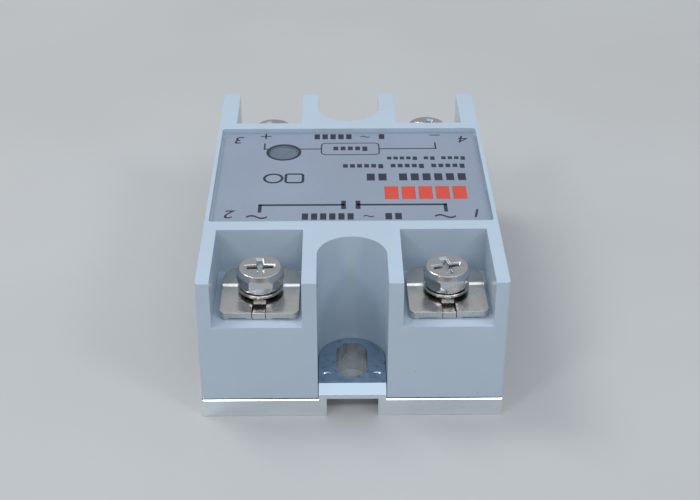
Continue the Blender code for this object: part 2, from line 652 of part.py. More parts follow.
def snubber_capacitor(finish):
    """The snubber's boxed film capacitor, on two leads."""
    x, y = CAPACITOR_AT
    w, d, h = (side / 2 for side in CAPACITOR_SIZE)
    foot = BOARD_TOP + 0.3 * MM
    body = place(box_mesh("snubber_capacitor", ((x - w) * MM, (x + w) * MM), ((y - d) * MM, (y + d) * MM),
                          (foot, foot + 2 * h * MM)), "snubber_capacitor", PARTS, finish)
    bevel(body, 0.35 * MM)
    leads_down(body, [((x - 5.0) * MM, y * MM), ((x + 5.0) * MM, y * MM)], foot + MM)
    return body


def optocoupler(finish):
    """The opto-isolator: a moulded block whose six legs are three staples through it."""
    x, y = OPTOCOUPLER_AT
    w, d, h = OPTOCOUPLER_SIZE
    foot = BOARD_TOP + 0.5 * MM
    across, along = ((x - 3.2) * MM, (x + 3.2) * MM), ((y - w / 2) * MM, (y + w / 2) * MM)
    body = place(box_mesh("optocoupler", across, along, (foot, foot + h * MM)), "optocoupler", PARTS, finish)
    bevel(body, 0.25 * MM, segments=1)
    half, thick, shoulder = 3.81 * MM, 0.25 * MM, foot + 1.9 * MM
    near, far = half - thick / 2, half + thick / 2
    under, over = shoulder - thick / 2, shoulder + thick / 2
    staple = [(-far, LEAD_TIP), (-near, LEAD_TIP), (-near, under), (near, under), (near, LEAD_TIP),
              (far, LEAD_TIP), (far, over), (-far, over)]
    for row in (-1, 0, 1):
        boolean(body, outline_mesh("legs", staple, 0.6 * MM, facing="Y"), "UNION",
                at=(x * MM, (y + row * 2.54) * MM, 0))
    return body


def limiter_transistor(finish):
    """A small transistor with one flat side, which limits the input's current."""
    x, y = TRANSISTOR_AT
    foot = BOARD_TOP + 1.5 * MM
    body = place(cylinder_mesh("limiter_transistor", x * MM, y * MM, TRANSISTOR_RADIUS * MM,
                               (foot, foot + 3.0 * MM), 20), "limiter_transistor", PARTS, finish)
    boolean(body, box_mesh("flat", ((x + 1.3) * MM, (x + 4) * MM), ((y - 4) * MM, (y + 4) * MM),
                           (foot - MM, foot + 5 * MM)))
    leads_down(body, [(x * MM, (y + row * 1.6) * MM) for row in (-1, 0, 1)], foot + MM)
    return body


def indicator_led(finish):
    """The indicator lamp, stood up on its leads to just under the window."""
    foot, radius = 15.8 * MM, 1.5 * MM
    crown = foot + 3.2 * MM
    bends = [math.radians(a) for a in range(0, 91, 15)]
    dome = [(radius * math.sin(a), crown + radius * math.cos(a)) for a in bends]
    rim, rim_top = 1.9 * MM, foot + 0.8 * MM
    profile = dome + [(radius, rim_top), (rim, rim_top), (rim, foot), (0, foot)]
    lamp = turned("indicator_led", profile, PARTS, finish, steps=20)
    lamp.location = (*LED_AT, 0.0)
    for side in (-1, 1):
        leg = cylinder_mesh("lead", 0, 0, LEAD_RADIUS, (LEAD_TIP, foot + MM), SMALL_SEGMENTS)
        boolean(lamp, leg, "UNION", at=(LED_AT[0] + side * 1.27 * MM, LED_AT[1], 0))
    return lamp


# ---------------------------------------------------------------- build


def main():
    """Builds every piece of the relay."""
    aluminium = material("die_cast_aluminium", (0.55, 0.60, 0.66), 1.0, 0.25)
    moulding = material("grey_abs", (0.46, 0.55, 0.64), 0.0, 0.42)
    nickel = material("nickel_plated_steel", (0.62, 0.60, 0.57), 1.0, 0.22)
    spring_steel = material("spring_steel", (0.50, 0.49, 0.48), 1.0, 0.3)
    brass = material("tinned_brass", (0.60, 0.52, 0.33), 1.0, 0.3)
    tin = material("tinned_copper", (0.65, 0.62, 0.58), 1.0, 0.35)
    black = material("black_epoxy", (0.02, 0.02, 0.02), 0.0, 0.5)

    base_plate(aluminium)
    casing(moulding)
    base_seal(material("silicone_sealant", (0.75, 0.75, 0.72), 0.0, 0.6))
    label_plate(material("satin_label", (0.32, 0.36, 0.43), 0.6, 0.4))
    led_window(material("smoked_window", (0.25, 0.27, 0.30), 0.0, 0.2, 0.7))
    terminals(nickel, brass, spring_steel)
    circuit_board(material("board_laminate", (0.55, 0.38, 0.16), 0.0, 0.5))
    triac(black, tin, material("alumina", (0.85, 0.84, 0.80), 0.0, 0.6), tin)
    for name, values in AXIAL_PARTS.items():
        axial_part(name, *values)
    snubber_capacitor(material("capacitor_case", (0.55, 0.40, 0.05), 0.0, 0.4))
    optocoupler(material("opto_case", (0.75, 0.75, 0.72), 0.0, 0.5))
    limiter_transistor(black)
    indicator_led(material("red_lens", (0.6, 0.02, 0.02), 0.0, 0.1, 0.6))
    for obj in PARTS.objects:
        obj.data.shade_smooth()
        obj.data.set_sharp_from_angle(angle=math.radians(35))


clear_scene()
PARTS = new_collection("solid_state_relay")
CUTTERS = new_collection("cutters")
main()
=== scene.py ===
"""Looks of a block-type solid state relay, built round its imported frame.

Frame: metres, +Z up. The output end with terminals 1 and 2 faces -Y, the input end +Y. Sizes are in metres,
written as millimetres times MM, apart from the label's print, whose places are given in millimetres.
"""

import logging
import math
from collections.abc import Callable
from dataclasses import dataclass
from enum import Enum

import bmesh
import bpy
from mathutils import Matrix, Vector


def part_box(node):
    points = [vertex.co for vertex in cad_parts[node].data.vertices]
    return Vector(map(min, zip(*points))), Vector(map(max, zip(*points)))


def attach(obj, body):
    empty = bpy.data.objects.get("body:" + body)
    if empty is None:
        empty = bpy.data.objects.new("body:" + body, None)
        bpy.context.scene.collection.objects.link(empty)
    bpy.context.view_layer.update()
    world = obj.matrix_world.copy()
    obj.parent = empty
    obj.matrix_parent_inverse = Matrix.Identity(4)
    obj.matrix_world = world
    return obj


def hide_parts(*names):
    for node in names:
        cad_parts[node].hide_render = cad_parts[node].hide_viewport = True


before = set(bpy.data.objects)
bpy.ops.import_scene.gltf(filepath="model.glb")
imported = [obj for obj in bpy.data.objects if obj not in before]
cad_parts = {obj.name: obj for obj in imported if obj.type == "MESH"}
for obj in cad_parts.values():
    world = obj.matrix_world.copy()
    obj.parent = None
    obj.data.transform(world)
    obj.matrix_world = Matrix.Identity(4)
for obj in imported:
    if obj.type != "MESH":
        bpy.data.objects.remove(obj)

MM = 0.001
LOG = logging.getLogger("relay")
Pair = tuple[float, float]
Triple = tuple[float, float, float]
Tree = bpy.types.NodeTree
Socket = bpy.types.NodeSocket
Layers = tuple[Socket, Socket, Socket]
Test = Callable[[Vector], bool]


# ------------------------------------------------------------------ materials


def linear(code: str) -> tuple[float, float, float, float]:
    """Turns an sRGB colour into linear light.

    Args:
        code: Six hex digits, with or without a leading hash.

    Returns:
        Linear red, green and blue, and an alpha of 1.
    """
    parts = [int(code.lstrip("#")[i:i + 2], 16) / 255 for i in (0, 2, 4)]
    light = [c / 12.92 if c <= 0.04045 else ((c + 0.055) / 1.055) ** 2.4 for c in parts]
    return (*light, 1.0)


def add_node(tree: Tree, kind: str, inputs: dict | None = None, output: int | str = 0,
             **settings: object) -> Socket:
    """Adds a shader node, sets its properties and fills or links its sockets.

    Args:
        tree: The node tree it goes in.
        kind: Blender's name of the node, after the word ShaderNode.
        inputs: For each socket's name or number, a value, or the output socket to link.
        output: Name or number of the output to return.
        **settings: The node's own properties.

    Returns:
        The output asked for. Its .node is the node.
    """
    node = tree.nodes.new("ShaderNode" + kind)
    for key, value in settings.items():
        setattr(node, key, value)
    for socket, value in (inputs or {}).items():
        if isinstance(value, Socket):
            tree.links.new(value, node.inputs[socket])
        else:
            node.inputs[socket].default_value = value
    return node.outputs[output]


@dataclass(frozen=True)
class Finish:
    """A surface finish: the real material, its colour and how it was made.

    Every finish has a fine grain, and broad blotches that move its roughness and colour a little. Subclasses
    add more to that.
    """

    name: str
    colour: str
    roughness: float
    metallic: float = 0.0
    ior: float = 1.5
    grain_mm: float = 0.25
    grain_depth: float = 0.02
    mottle: float = 0.04
    mottle_mm: float = 9.0
    rough_spread: float = 0.06

    def build(self) -> bpy.types.Material:
        """Makes the material on the first call.

        Returns:
            The material, the same one on every call.
        """
        known = bpy.data.materials.get(self.name)
        if known:
            return known
        made = bpy.data.materials.new(self.name)
        made.use_nodes = True
        tree = made.node_tree
        shader = tree.nodes["Principled BSDF"]
        shader.inputs["Metallic"].default_value = self.metallic
        if not self.metallic:
            shader.inputs["IOR"].default_value = self.ior
        colour, rough, height = self.layers(tree, add_node(tree, "TexCoord", output="Object"))
        tree.links.new(colour, shader.inputs["Base Color"])
        tree.links.new(rough, shader.inputs["Roughness"])
        bump = add_node(tree, "Bump", {"Height": height, "Distance": self.grain_depth * MM, "Strength": 1.0})
        tree.links.new(bump, shader.inputs["Normal"])
        self.extra(shader)
        return made

    def blotches(self, tree: Tree, place: Socket, size_mm: float, detail: float = 2.0,
                 stretch: Triple = (1.0, 1.0, 1.0)) -> Socket:
        """Adds a pattern of soft blotches.

        Args:
            tree: The material's nodes.
            place: Where on the piece, in metres.
            size_mm: How far across a blotch is.
            detail: How many finer layers lie over it.
            stretch: How many times longer a blotch is along each axis.

        Returns:
            A value round about 0.5.
        """
        scale = [1.0 / (size_mm * MM * s) for s in stretch]
        fitted = add_node(tree, "Mapping", {"Vector": place, "Scale": scale})
        return add_node(tree, "TexNoise", {"Vector": fitted, "Scale": 1.0, "Detail": detail}, "Fac")

    def layers(self, tree: Tree, place: Socket) -> Layers:
        """Adds the nodes that vary the surface.

        Args:
            tree: The material's nodes.
            place: Where on the piece, in metres.

        Returns:
            The colour, roughness and height of the surface.
        """
        broad = self.blotches(tree, place, self.mottle_mm)
        grain = self.blotches(tree, place, self.grain_mm)
        ranges = ((1.0, self.mottle), (self.roughness, self.rough_spread))
        value, rough = [add_node(tree, "MapRange", {"Value": broad, "From Min": 0.3, "From Max": 0.7,
                                                    "To Min": middle - reach, "To Max": middle + reach},
                                 interpolation_type="SMOOTHSTEP") for middle, reach in ranges]
        return add_node(tree, "HueSaturation", {"Color": linear(self.colour), "Value": value}), rough, grain

    def extra(self, shader: bpy.types.Node) -> None:
        """Settings that only some finishes have."""


@dataclass(frozen=True)
class MouldedAbs(Finish):
    """Injection-moulded ABS: satin from a fine spark-eroded tool, with a few dark specks in the resin."""

    flow_mm: float = 6.0
    flow_colour: str = "#8798A8"
    speck_mm: float = 2.6
    speck_reach: float = 0.035
    speck_rarity: float = 0.72
    speck_colour: str = "#3A3F45"

    def layers(self, tree: Tree, place: Socket) -> Layers:
        """Adds the specks and the faint flow marks that run up from the gate.

        A speck reaches speck_reach of the way across its cell, and the cells are speck_mm wide.

        Args:
            tree: The material's nodes.
            place: Where on the piece, in metres.

        Returns:
            The colour, roughness and height of the surface.
        """
        colour, rough, grain = super().layers(tree, place)
        flow = self.blotches(tree, place, self.flow_mm, 1.0, (1.0, 1.0, 4.0))
        marks = add_node(tree, "MapRange", {"Value": flow, "From Min": 0.1, "From Max": 0.9, "To Max": 0.05},
                         interpolation_type="SMOOTHSTEP")
        colour = add_node(tree, "Mix", {"Factor": marks, 6: colour, 7: linear(self.flow_colour)}, 2,
                          data_type="RGBA")
        cells = add_node(tree, "TexVoronoi", {"Vector": place, "Scale": 1 / (self.speck_mm * MM)}, "Distance")
        chosen = add_node(tree, "Math", {0: cells.node.outputs["Color"], 1: self.speck_rarity},
                          operation="GREATER_THAN")
        near = add_node(tree, "MapRange", {"Value": cells, "From Min": self.speck_reach * 0.5,
                                           "From Max": self.speck_reach, "To Min": 1.0, "To Max": 0.0},
                        interpolation_type="SMOOTHSTEP")
        speck = add_node(tree, "Math", {0: near, 1: chosen}, operation="MULTIPLY")
        colour = add_node(tree, "Mix", {"Factor": speck, 6: colour, 7: linear(self.speck_colour)}, 2,
                          data_type="RGBA")
        return colour, rough, grain


@dataclass(frozen=True)
class Streaked(Finish):
    """A surface drawn out into streaks, along the axis where streak_stretch is longest."""

    streak_mm: float = 0.35
    streak_stretch: Triple = (1.0, 1.0, 14.0)
    streak_weight: float = 0.8

    def layers(self, tree: Tree, place: Socket) -> Layers:
        """Adds the streaks, which smear what the surface reflects.

        Args:
            tree: The material's nodes.
            place: Where on the piece, in metres.

        Returns:
            The colour, roughness and height of the surface.
        """
        colour, rough, grain = super().layers(tree, place)
        streaks = self.blotches(tree, place, self.streak_mm, 3.0, self.streak_stretch)
        height = add_node(tree, "Math", {0: streaks, 1: self.streak_weight, 2: grain},
                          operation="MULTIPLY_ADD")
        return colour, rough, height


@dataclass(frozen=True)
class CastMetal(Streaked):
    """Die-cast aluminium: a bright chilled skin with shallow flow lines and pits."""

    metallic: float = 1.0


@dataclass(frozen=True)
class PlatedMetal(Finish):
    """Bright nickel or tin plate over tumbled metal: soft dents from the barrel and fine scratches."""

    metallic: float = 1.0
    dent_mm: float = 1.6
    dent_weight: float = 5.0
    scratch_mm: float = 0.16
    scratch_dulling: float = 0.05

    def layers(self, tree: Tree, place: Socket) -> Layers:
        """Adds the dents, and scratches that run one way across the part.

        Args:
            tree: The material's nodes.
            place: Where on the piece, in metres.

        Returns:
            The colour, roughness and height of the surface.
        """
        colour, rough, grain = super().layers(tree, place)
        dents = self.blotches(tree, place, self.dent_mm, 1.0)
        scratches = self.blotches(tree, place, self.scratch_mm, 2.0, (9.0, 1.0, 1.0))
        sharp = add_node(tree, "MapRange", {"Value": scratches, "From Min": 0.62, "From Max": 0.75},
                         interpolation_type="SMOOTHSTEP")
        rough = add_node(tree, "Math", {0: sharp, 1: self.scratch_dulling, 2: rough},
                         operation="MULTIPLY_ADD")
        height = add_node(tree, "Math", {0: dents, 1: self.dent_weight, 2: grain}, operation="MULTIPLY_ADD")
        return colour, rough, height


@dataclass(frozen=True)
class PrintedFilm(Finish):
    """Silver polyester film: a fine metallic flake under a satin lacquer."""

    flake_mm: float = 0.12
    flake_colour: str = "#B4BCC8"
    flake_share: float = 0.35

    def layers(self, tree: Tree, place: Socket) -> Layers:
        """Adds the flake, a sparkle of lighter and darker points.

        Args:
            tree: The material's nodes.
            place: Where on the piece, in metres.

        Returns:
            The colour, roughness and height of the surface.
        """
        colour, rough, grain = super().layers(tree, place)
        flake = self.blotches(tree, place, self.flake_mm, 1.0)
        light = add_node(tree, "MapRange", {"Value": flake, "From Min": 0.45, "From Max": 0.75,
                                            "To Max": self.flake_share}, interpolation_type="SMOOTHSTEP")
        colour = add_node(tree, "Mix", {"Factor": light, 6: colour, 7: linear(self.flake_colour)}, 2,
                          data_type="RGBA")
        return colour, rough, grain


@dataclass(frozen=True)
class ClearResin(Finish):
    """Tinted clear plastic, cast or moulded, with a glossy skin."""

    transmission: float = 0.5
    coat: float = 0.5
    coat_roughness: float = 0.12

    def extra(self, shader: bpy.types.Node) -> None:
        """Lets light in and lays a gloss on top.

        Args:
            shader: The material's Principled node.
        """
        shader.inputs["Transmission Weight"].default_value = self.transmission
        shader.inputs["Coat Weight"].default_value = self.coat
        shader.inputs["Coat Roughness"].default_value = self.coat_roughness


# Light grey ABS: satin, so its faces shade softly and its edges catch a line of light
CASING_ABS = MouldedAbs("casing_abs_moulded", "#B3C1CE", 0.2, ior=1.56, grain_mm=0.22, grain_depth=0.012,
                        mottle=0.015, rough_spread=0.04)
# Cast skin left by a polished die: bright, so it mirrors the table with a slight smear
BASE_SKIN = CastMetal("aluminium_die_cast_bright", "#EAF0F5", 0.06, grain_mm=0.5, grain_depth=0.002,
                      mottle=0.03, rough_spread=0.02)
# The lug's top, from a duller part of the die, so blurred, and marked with small pits
# Its darker blue-grey colour is a painted reflection of the dark casing wall and the bluish sky
LUG_PAINTED_REFLECTION = CastMetal("aluminium_die_cast_dull_painted_reflection", "#AFC2D2", 0.32, grain_mm=0.3, grain_depth=0.009,
                     mottle=0.08, mottle_mm=1.2, streak_stretch=(1.0, 1.0, 1.0))
# The holes' walls, drawn along the core pins: the streaks run up and down and smear the table's light
# Its colour, a little darker and bluer than the base's, is painted shade inside the holes
HOLE_WALL_PAINTED_SHADE = CastMetal("aluminium_die_cast_cored_painted_shade", "#DDE1E4", 0.24, grain_mm=0.3, grain_depth=0.006,
                      mottle=0.06, mottle_mm=1.2, rough_spread=0.04)
# Bright nickel on stamped and cold-headed steel: warm grey mirrors, softened by tumbling
NICKEL = PlatedMetal("nickel_plate_bright", "#CDCED0", 0.13, grain_mm=0.3, grain_depth=0.003,
                     mottle=0.02, mottle_mm=2.0, rough_spread=0.03)
# The same plate over stamped strip, whose surface is rougher, so that its reflections blur
SATIN_NICKEL = PlatedMetal("nickel_plate_satin", "#D0CAC4", 0.24, grain_mm=0.4, grain_depth=0.0012,
                           mottle=0.03, mottle_mm=2.0, rough_spread=0.04)
# Plated spring steel: a little darker and duller
SPRING_STEEL = PlatedMetal("spring_steel_plated", "#B9B6B1", 0.24, grain_mm=0.3, grain_depth=0.004,
                           mottle=0.05, mottle_mm=2.0)
# Tin over machined brass, whose yellow shows through the thin plate
TINNED_BRASS = PlatedMetal("brass_tinned", "#D6CBA0", 0.26, grain_depth=0.004, mottle=0.06,
                           mottle_mm=3.0)
# Hot-dipped tin over stamped copper: thicker, so it is grey, wavy and soft
TINNED_COPPER = PlatedMetal("copper_tinned", "#CFCBC4", 0.32, grain_depth=0.004, mottle=0.06)
# Silver label stock: neither mirror nor paint, an even soft grey
LABEL_FILM = PrintedFilm("polyester_film_silver", "#969FAF", 0.46, metallic=0.35, grain_mm=0.15,
                         grain_depth=0.004, mottle=0.02, mottle_mm=14.0)
# Screen-printed inks: thick enough to look even, with a faint sheen
INK_DARK = Finish("ink_screen_printed_navy", "#1E2338", 0.42, grain_mm=0.1, grain_depth=0.004, mottle=0.1,
                  mottle_mm=1.0)
INK_RED = Finish("ink_screen_printed_red", "#CF4331", 0.42, grain_mm=0.1, grain_depth=0.004, mottle=0.05,
                 mottle_mm=1.0)
# Smoked acrylic, frosted on its back so that the lamp's light spreads: dark, with a soft gloss
WINDOW_RESIN = ClearResin("acrylic_smoked", "#667384", 0.28, ior=1.49, grain_mm=0.4, grain_depth=0.01,
                          mottle=0.07, mottle_mm=1.5, transmission=0.25)
# Cast red epoxy of the lamp: glassy, and deep where it is thick
LED_RESIN = ClearResin("epoxy_red_clear", "#B01810", 0.15, ior=1.53, transmission=0.6)
# Pressed phenolic paper board: tan, with the paper's long fibres just showing
LAMINATE = Streaked("laminate_phenolic", "#B79355", 0.5, grain_mm=0.2, streak_mm=0.4,
                    streak_stretch=(12.0, 1.0, 1.0))
# Fired alumina: an off-white with a fine dry grain
ALUMINA = Finish("alumina_fired", "#E9E6DE", 0.6, ior=1.76, grain_mm=0.08, grain_depth=0.01)
# Transfer-moulded epoxy from an eroded tool: matt, and speckled by its filler
BLACK_EPOXY = Finish("epoxy_moulded_black", "#16171A", 0.45, grain_mm=0.12, grain_depth=0.02, mottle=0.1)
WHITE_EPOXY = Finish("epoxy_moulded_white", "#DAD9D2", 0.5, grain_mm=0.12, grain_depth=0.02)
# Moulded polyester box of the capacitor: a plain ochre with a low sheen
FILM_CASE = Finish("capacitor_case_moulded", "#B8962E", 0.4, grain_mm=0.2, grain_depth=0.02, mottle=0.06)
# Dipped lacquer of the resistors: blue-grey, a little uneven where it ran
LACQUER = Finish("lacquer_dipped", "#7F97A3", 0.35, grain_mm=0.3, mottle=0.08, mottle_mm=2.0)
# Cured silicone bead: milky, with a skin that dulls its shine
SILICONE = Finish("silicone_cured", "#D8D7CF", 0.55, ior=1.41, grain_mm=0.6, grain_depth=0.05)
# Pressed laminate table top: pale and nearly even, so that it gives soft shadows
TABLE = Finish("table_pale_laminate", "#B9B7B5", 0.5, grain_mm=1.5, grain_depth=0.01, mottle=0.02,
               mottle_mm=60.0)


# ------------------------------------------------------------------ shapes


def arc(centre: Pair, radius: float, start: float, end: float, steps: int) -> list[Pair]:
    """Points along an arc from start to end, in degrees, both ends included."""
    angles = [math.radians(start + (end - start) * i / steps) for i in range(steps + 1)]
    return [(centre[0] + radius * math.cos(a), centre[1] + radius * math.sin(a)) for a in angles]


def rounded(x: Pair, y: Pair, radius: float, steps: int = 6) -> list[Pair]:
    """The outline of a rectangle with round corners.

    Args:
        x: Its lowest and highest x.
        y: Its lowest and highest y.
        radius: Radius of the corners.
        steps: Sides of a corner.

    Returns:
        The points, counterclockwise.
    """
    corners = (((x[1], y[1]), 0), ((x[0], y[1]), 90), ((x[0], y[0]), 180), ((x[1], y[0]), 270))
    points = []
    for (cx, cy), start in corners:
        inward = (cx - math.copysign(radius, cx - sum(x) / 2), cy - math.copysign(radius, cy - sum(y) / 2))
        points += arc(inward, radius, start, start + 90, steps)
    return points


def u_shape(radius: float, y: float, sign: int, beyond: float) -> list[Pair]:
    """The outline of a U in plan, which is open towards one end of the relay.

    Args:
        radius: Radius of the U's round, and half the distance between its sides.
        y: Where the round has its centre. Its x is 0.
        sign: The end that the sides run towards, as the sign of its y.
        beyond: Where the sides stop.

    Returns:
        The points, counterclockwise.
    """
    start = 0 if sign < 0 else 180
    return [*arc((0.0, y), radius, start, start + 180, 48), (sign * radius, beyond), (-sign * radius, beyond)]


def plan_centre(node: str) -> Pair:
    """The middle of a CAD node's box, seen from above."""
    low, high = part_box(node)
    return (low.x + high.x) / 2, (low.y + high.y) / 2


class Solid:
    """A closed shape under construction, in metres."""

    def __init__(self, bm: bmesh.types.BMesh) -> None:
        """Takes over a bmesh."""
        self.bm = bm

    @classmethod
    def block(cls, x: Pair, y: Pair, z: Pair) -> "Solid":
        """Makes a box.

        Args:
            x: Its lowest and highest x.
            y: Its lowest and highest y.
            z: Its lowest and highest z.

        Returns:
            The box.
        """
        bm = bmesh.new()
        middle = Matrix.Translation((sum(x) / 2, sum(y) / 2, sum(z) / 2))
        size = Matrix.Diagonal((x[1] - x[0], y[1] - y[0], z[1] - z[0], 1.0))
        bmesh.ops.create_cube(bm, size=1.0, matrix=middle @ size)
        return cls(bm)

    @classmethod
    def drum(cls, at: Pair, radius: float, z: Pair, segments: int = 64) -> "Solid":
        """Makes an upright cylinder.

        Args:
            at: Its axis in plan.
            radius: Its radius.
            z: Its lowest and highest z.
            segments: How many sides it has.

        Returns:
            The cylinder.
        """
        bm = bmesh.new()
        middle = Matrix.Translation((at[0], at[1], sum(z) / 2))
        bmesh.ops.create_cone(bm, cap_ends=True, segments=segments, radius1=radius, radius2=radius,
                              depth=z[1] - z[0], matrix=middle)
        return cls(bm)

    @classmethod
    def plate(cls, outline: list[Pair], z: Pair, facing: str = "Z") -> "Solid":
        """Gives an outline depth.

        Args:
            outline: The points, as (x, y), or as (y, z) where facing is X.
            z: Where the depth starts and ends along the axis it faces.
            facing: The axis, Z or X.

        Returns:
            The plate.
        """
        bm = bmesh.new()
        verts = [bm.verts.new((u, v, z[0])) for u, v in outline]
        grown = bmesh.ops.extrude_face_region(bm, geom=[bm.faces.new(verts)])
        moved = [item for item in grown["geom"] if isinstance(item, bmesh.types.BMVert)]
        bmesh.ops.translate(bm, vec=(0.0, 0.0, z[1] - z[0]), verts=moved)
        if facing == "X":
            cycle = Matrix(((0, 0, 1), (1, 0, 0), (0, 1, 0))).to_4x4()
            bmesh.ops.transform(bm, matrix=cycle, verts=bm.verts)
        return cls(bm).closed()

    @classmethod
    def turned(cls, profile: list[Pair], steps: int = 72, ring: bool = False) -> "Solid":
        """Turns a profile about +Z.

        Args:
            profile: The points, as (radius, z).
            steps: How many sides the shape has.
            ring: Whether the profile is closed on itself, so that the shape has a hole along its axis.

        Returns:
            The turned shape.
        """
        bm = bmesh.new()
        verts = [bm.verts.new((r, 0.0, z)) for r, z in profile]
        edges = [bm.edges.new(pair) for pair in zip(verts, verts[1:])]
        if ring:
            edges.append(bm.edges.new((verts[-1], verts[0])))
        bmesh.ops.spin(bm, geom=verts + edges, cent=(0, 0, 0), axis=(0, 0, 1), dvec=(0, 0, 0),
                       angle=2 * math.pi, steps=steps, use_merge=True)
        return cls(bm).closed()

    @classmethod
    def coil(cls, section: list[Pair], turn: float, rise: float, steps: int) -> "Solid":
        """Sweeps a section round +Z while it rises.

        Args:
            section: The points, as (radius, z).
            turn: How far round it goes, in radians.
            rise: How far up it goes.
            steps: How many sections lie along it.

        Returns:
            The coil.
        """
        bm = bmesh.new()
        face = bm.faces.new([bm.verts.new((r, 0.0, z)) for r, z in section])
        geom = [face, *face.edges, *face.verts]
        bmesh.ops.spin(bm, geom=geom, cent=(0, 0, 0), axis=(0, 0, 1), dvec=(0, 0, rise / steps),
                       angle=turn, steps=steps)
        return cls(bm).closed()

    def closed(self) -> "Solid":
        """Merges what coincides, fills open ends and turns the faces outwards.

        Returns:
            The same solid.
        """
        bmesh.ops.remove_doubles(self.bm, verts=self.bm.verts, dist=1e-7)
        bmesh.ops.holes_fill(self.bm, edges=[e for e in self.bm.edges if e.is_boundary], sides=0)
        bmesh.ops.recalc_face_normals(self.bm, faces=self.bm.faces)
        return self

    def copy(self) -> "Solid":
        """The same shape again."""
        return Solid(self.bm.copy())

    def moved(self, x: float = 0.0, y: float = 0.0, z: float = 0.0) -> "Solid":
        """Shifts the shape."""
        bmesh.ops.translate(self.bm, vec=(x, y, z), verts=self.bm.verts)
        return self

    def rotated(self, degrees: float) -> "Solid":
        """Turns the shape about the Z axis through the origin.

        Args:
            degrees: How far, counterclockwise from above.

        Returns:
            The same solid.
        """
        turn = Matrix.Rotation(math.radians(degrees), 3, "Z")
        bmesh.ops.rotate(self.bm, cent=(0, 0, 0), matrix=turn, verts=self.bm.verts)
        return self

    def with_loose(self, other: "Solid") -> "Solid":
        """Takes in another shape's mesh as it is.

        Args:
            other: The other shape.

        Returns:
            The same solid, with both.
        """
        mesh = bpy.data.meshes.new("loose")
        other.bm.to_mesh(mesh)
        self.bm.from_mesh(mesh)
        bpy.data.meshes.remove(mesh)
        return self

    def combined(self, other: "Solid", operation: str = "DIFFERENCE") -> "Solid":
        """Cuts, joins or keeps the common part with another shape.

        Args:
            other: The other shape, which is used up.
            operation: DIFFERENCE, UNION or INTERSECT.

        Returns:
            The same solid.
        """
        held = []
        for solid in (self, other):
            mesh = bpy.data.meshes.new("combine")
            solid.bm.to_mesh(mesh)
            solid.bm.free()
            held.append(bpy.data.objects.new("combine", mesh))
            bpy.context.scene.collection.objects.link(held[-1])
        step = held[0].modifiers.new("combine", "BOOLEAN")
        step.operation = operation
        step.solver = "EXACT"
        step.object = held[1]
        bpy.context.view_layer.update()
        result = bpy.data.meshes.new_from_object(held[0].evaluated_get(bpy.context.evaluated_depsgraph_get()))
        self.bm = bmesh.new()
        self.bm.from_mesh(result)
        spent = [item.data for item in held]
        for item in held:
            bpy.data.objects.remove(item, do_unlink=True)
        for mesh in (*spent, result):
            bpy.data.meshes.remove(mesh)
        return self

    def tidied(self) -> "Solid":
        """Merges flat neighbours into one face, so that rounding the edges runs clean.

        Returns:
            The same solid.
        """
        bmesh.ops.remove_doubles(self.bm, verts=self.bm.verts, dist=1e-7)
        bmesh.ops.dissolve_limit(self.bm, angle_limit=math.radians(0.4), verts=self.bm.verts,
                                 edges=self.bm.edges, delimit=set())
        return self

    def softened(self, radius: float, segments: int = 3, angle: float = 32.0, where: Test | None = None,
                 clamped: bool = True) -> "Solid":
        """Rounds the sharp edges.

        Args:
            radius: How far the rounding reaches from the edge.
            segments: Faces across the rounding.
            angle: Edges whose faces meet at less than this many degrees stay.
            where: A test of an edge's middle point. Edges that fail it stay.
            clamped: Makes the rounding smaller where short edges leave no room for it.

        Returns:
            The same solid.
        """
        limit = math.radians(angle)
        edges = [e for e in self.bm.edges if len(e.link_faces) == 2 and e.calc_face_angle(0.0) > limit
                 and (where is None or where((e.verts[0].co + e.verts[1].co) / 2))]
        bmesh.ops.bevel(self.bm, geom=edges, offset=radius, offset_type="OFFSET", segments=segments,
                        profile=0.5, affect="EDGES", clamp_overlap=clamped, loop_slide=True, material=-1)
        return self

    def piece(self, name: str, finish: Finish, body: str = "housing", slot: str = "",
              weighted: bool = True) -> bpy.types.Object:
        """Makes the object, smooth across its roundings and flat on its faces, and puts it on its body.

        Args:
            name: The object's name.
            finish: What it is made of.
            body: The body it rides.
            slot: Its material slot, if it has one. Not used.
            weighted: Whether large faces set the shading of the roundings beside them.

        Returns:
            The object. The solid is used up.
        """
        mesh = bpy.data.meshes.new(name)
        self.bm.to_mesh(mesh)
        self.bm.free()
        mesh.shade_smooth()
        mesh.set_sharp_from_angle(angle=math.radians(38.0))
        mesh.materials.append(finish.build())
        obj = bpy.data.objects.new(name, mesh)
        bpy.context.scene.collection.objects.link(obj)
        if weighted:
            normals = obj.modifiers.new("flat_faces", "WEIGHTED_NORMAL")
            normals.keep_sharp = True
        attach(obj, body)
        LOG.info("%s: %d faces", name, len(mesh.polygons))
        return obj


# ------------------------------------------------------------------ casing and base


class End(Enum):
    """The relay's two ends, by the sign of their Y."""

    OUTPUT = -1
    INPUT = 1


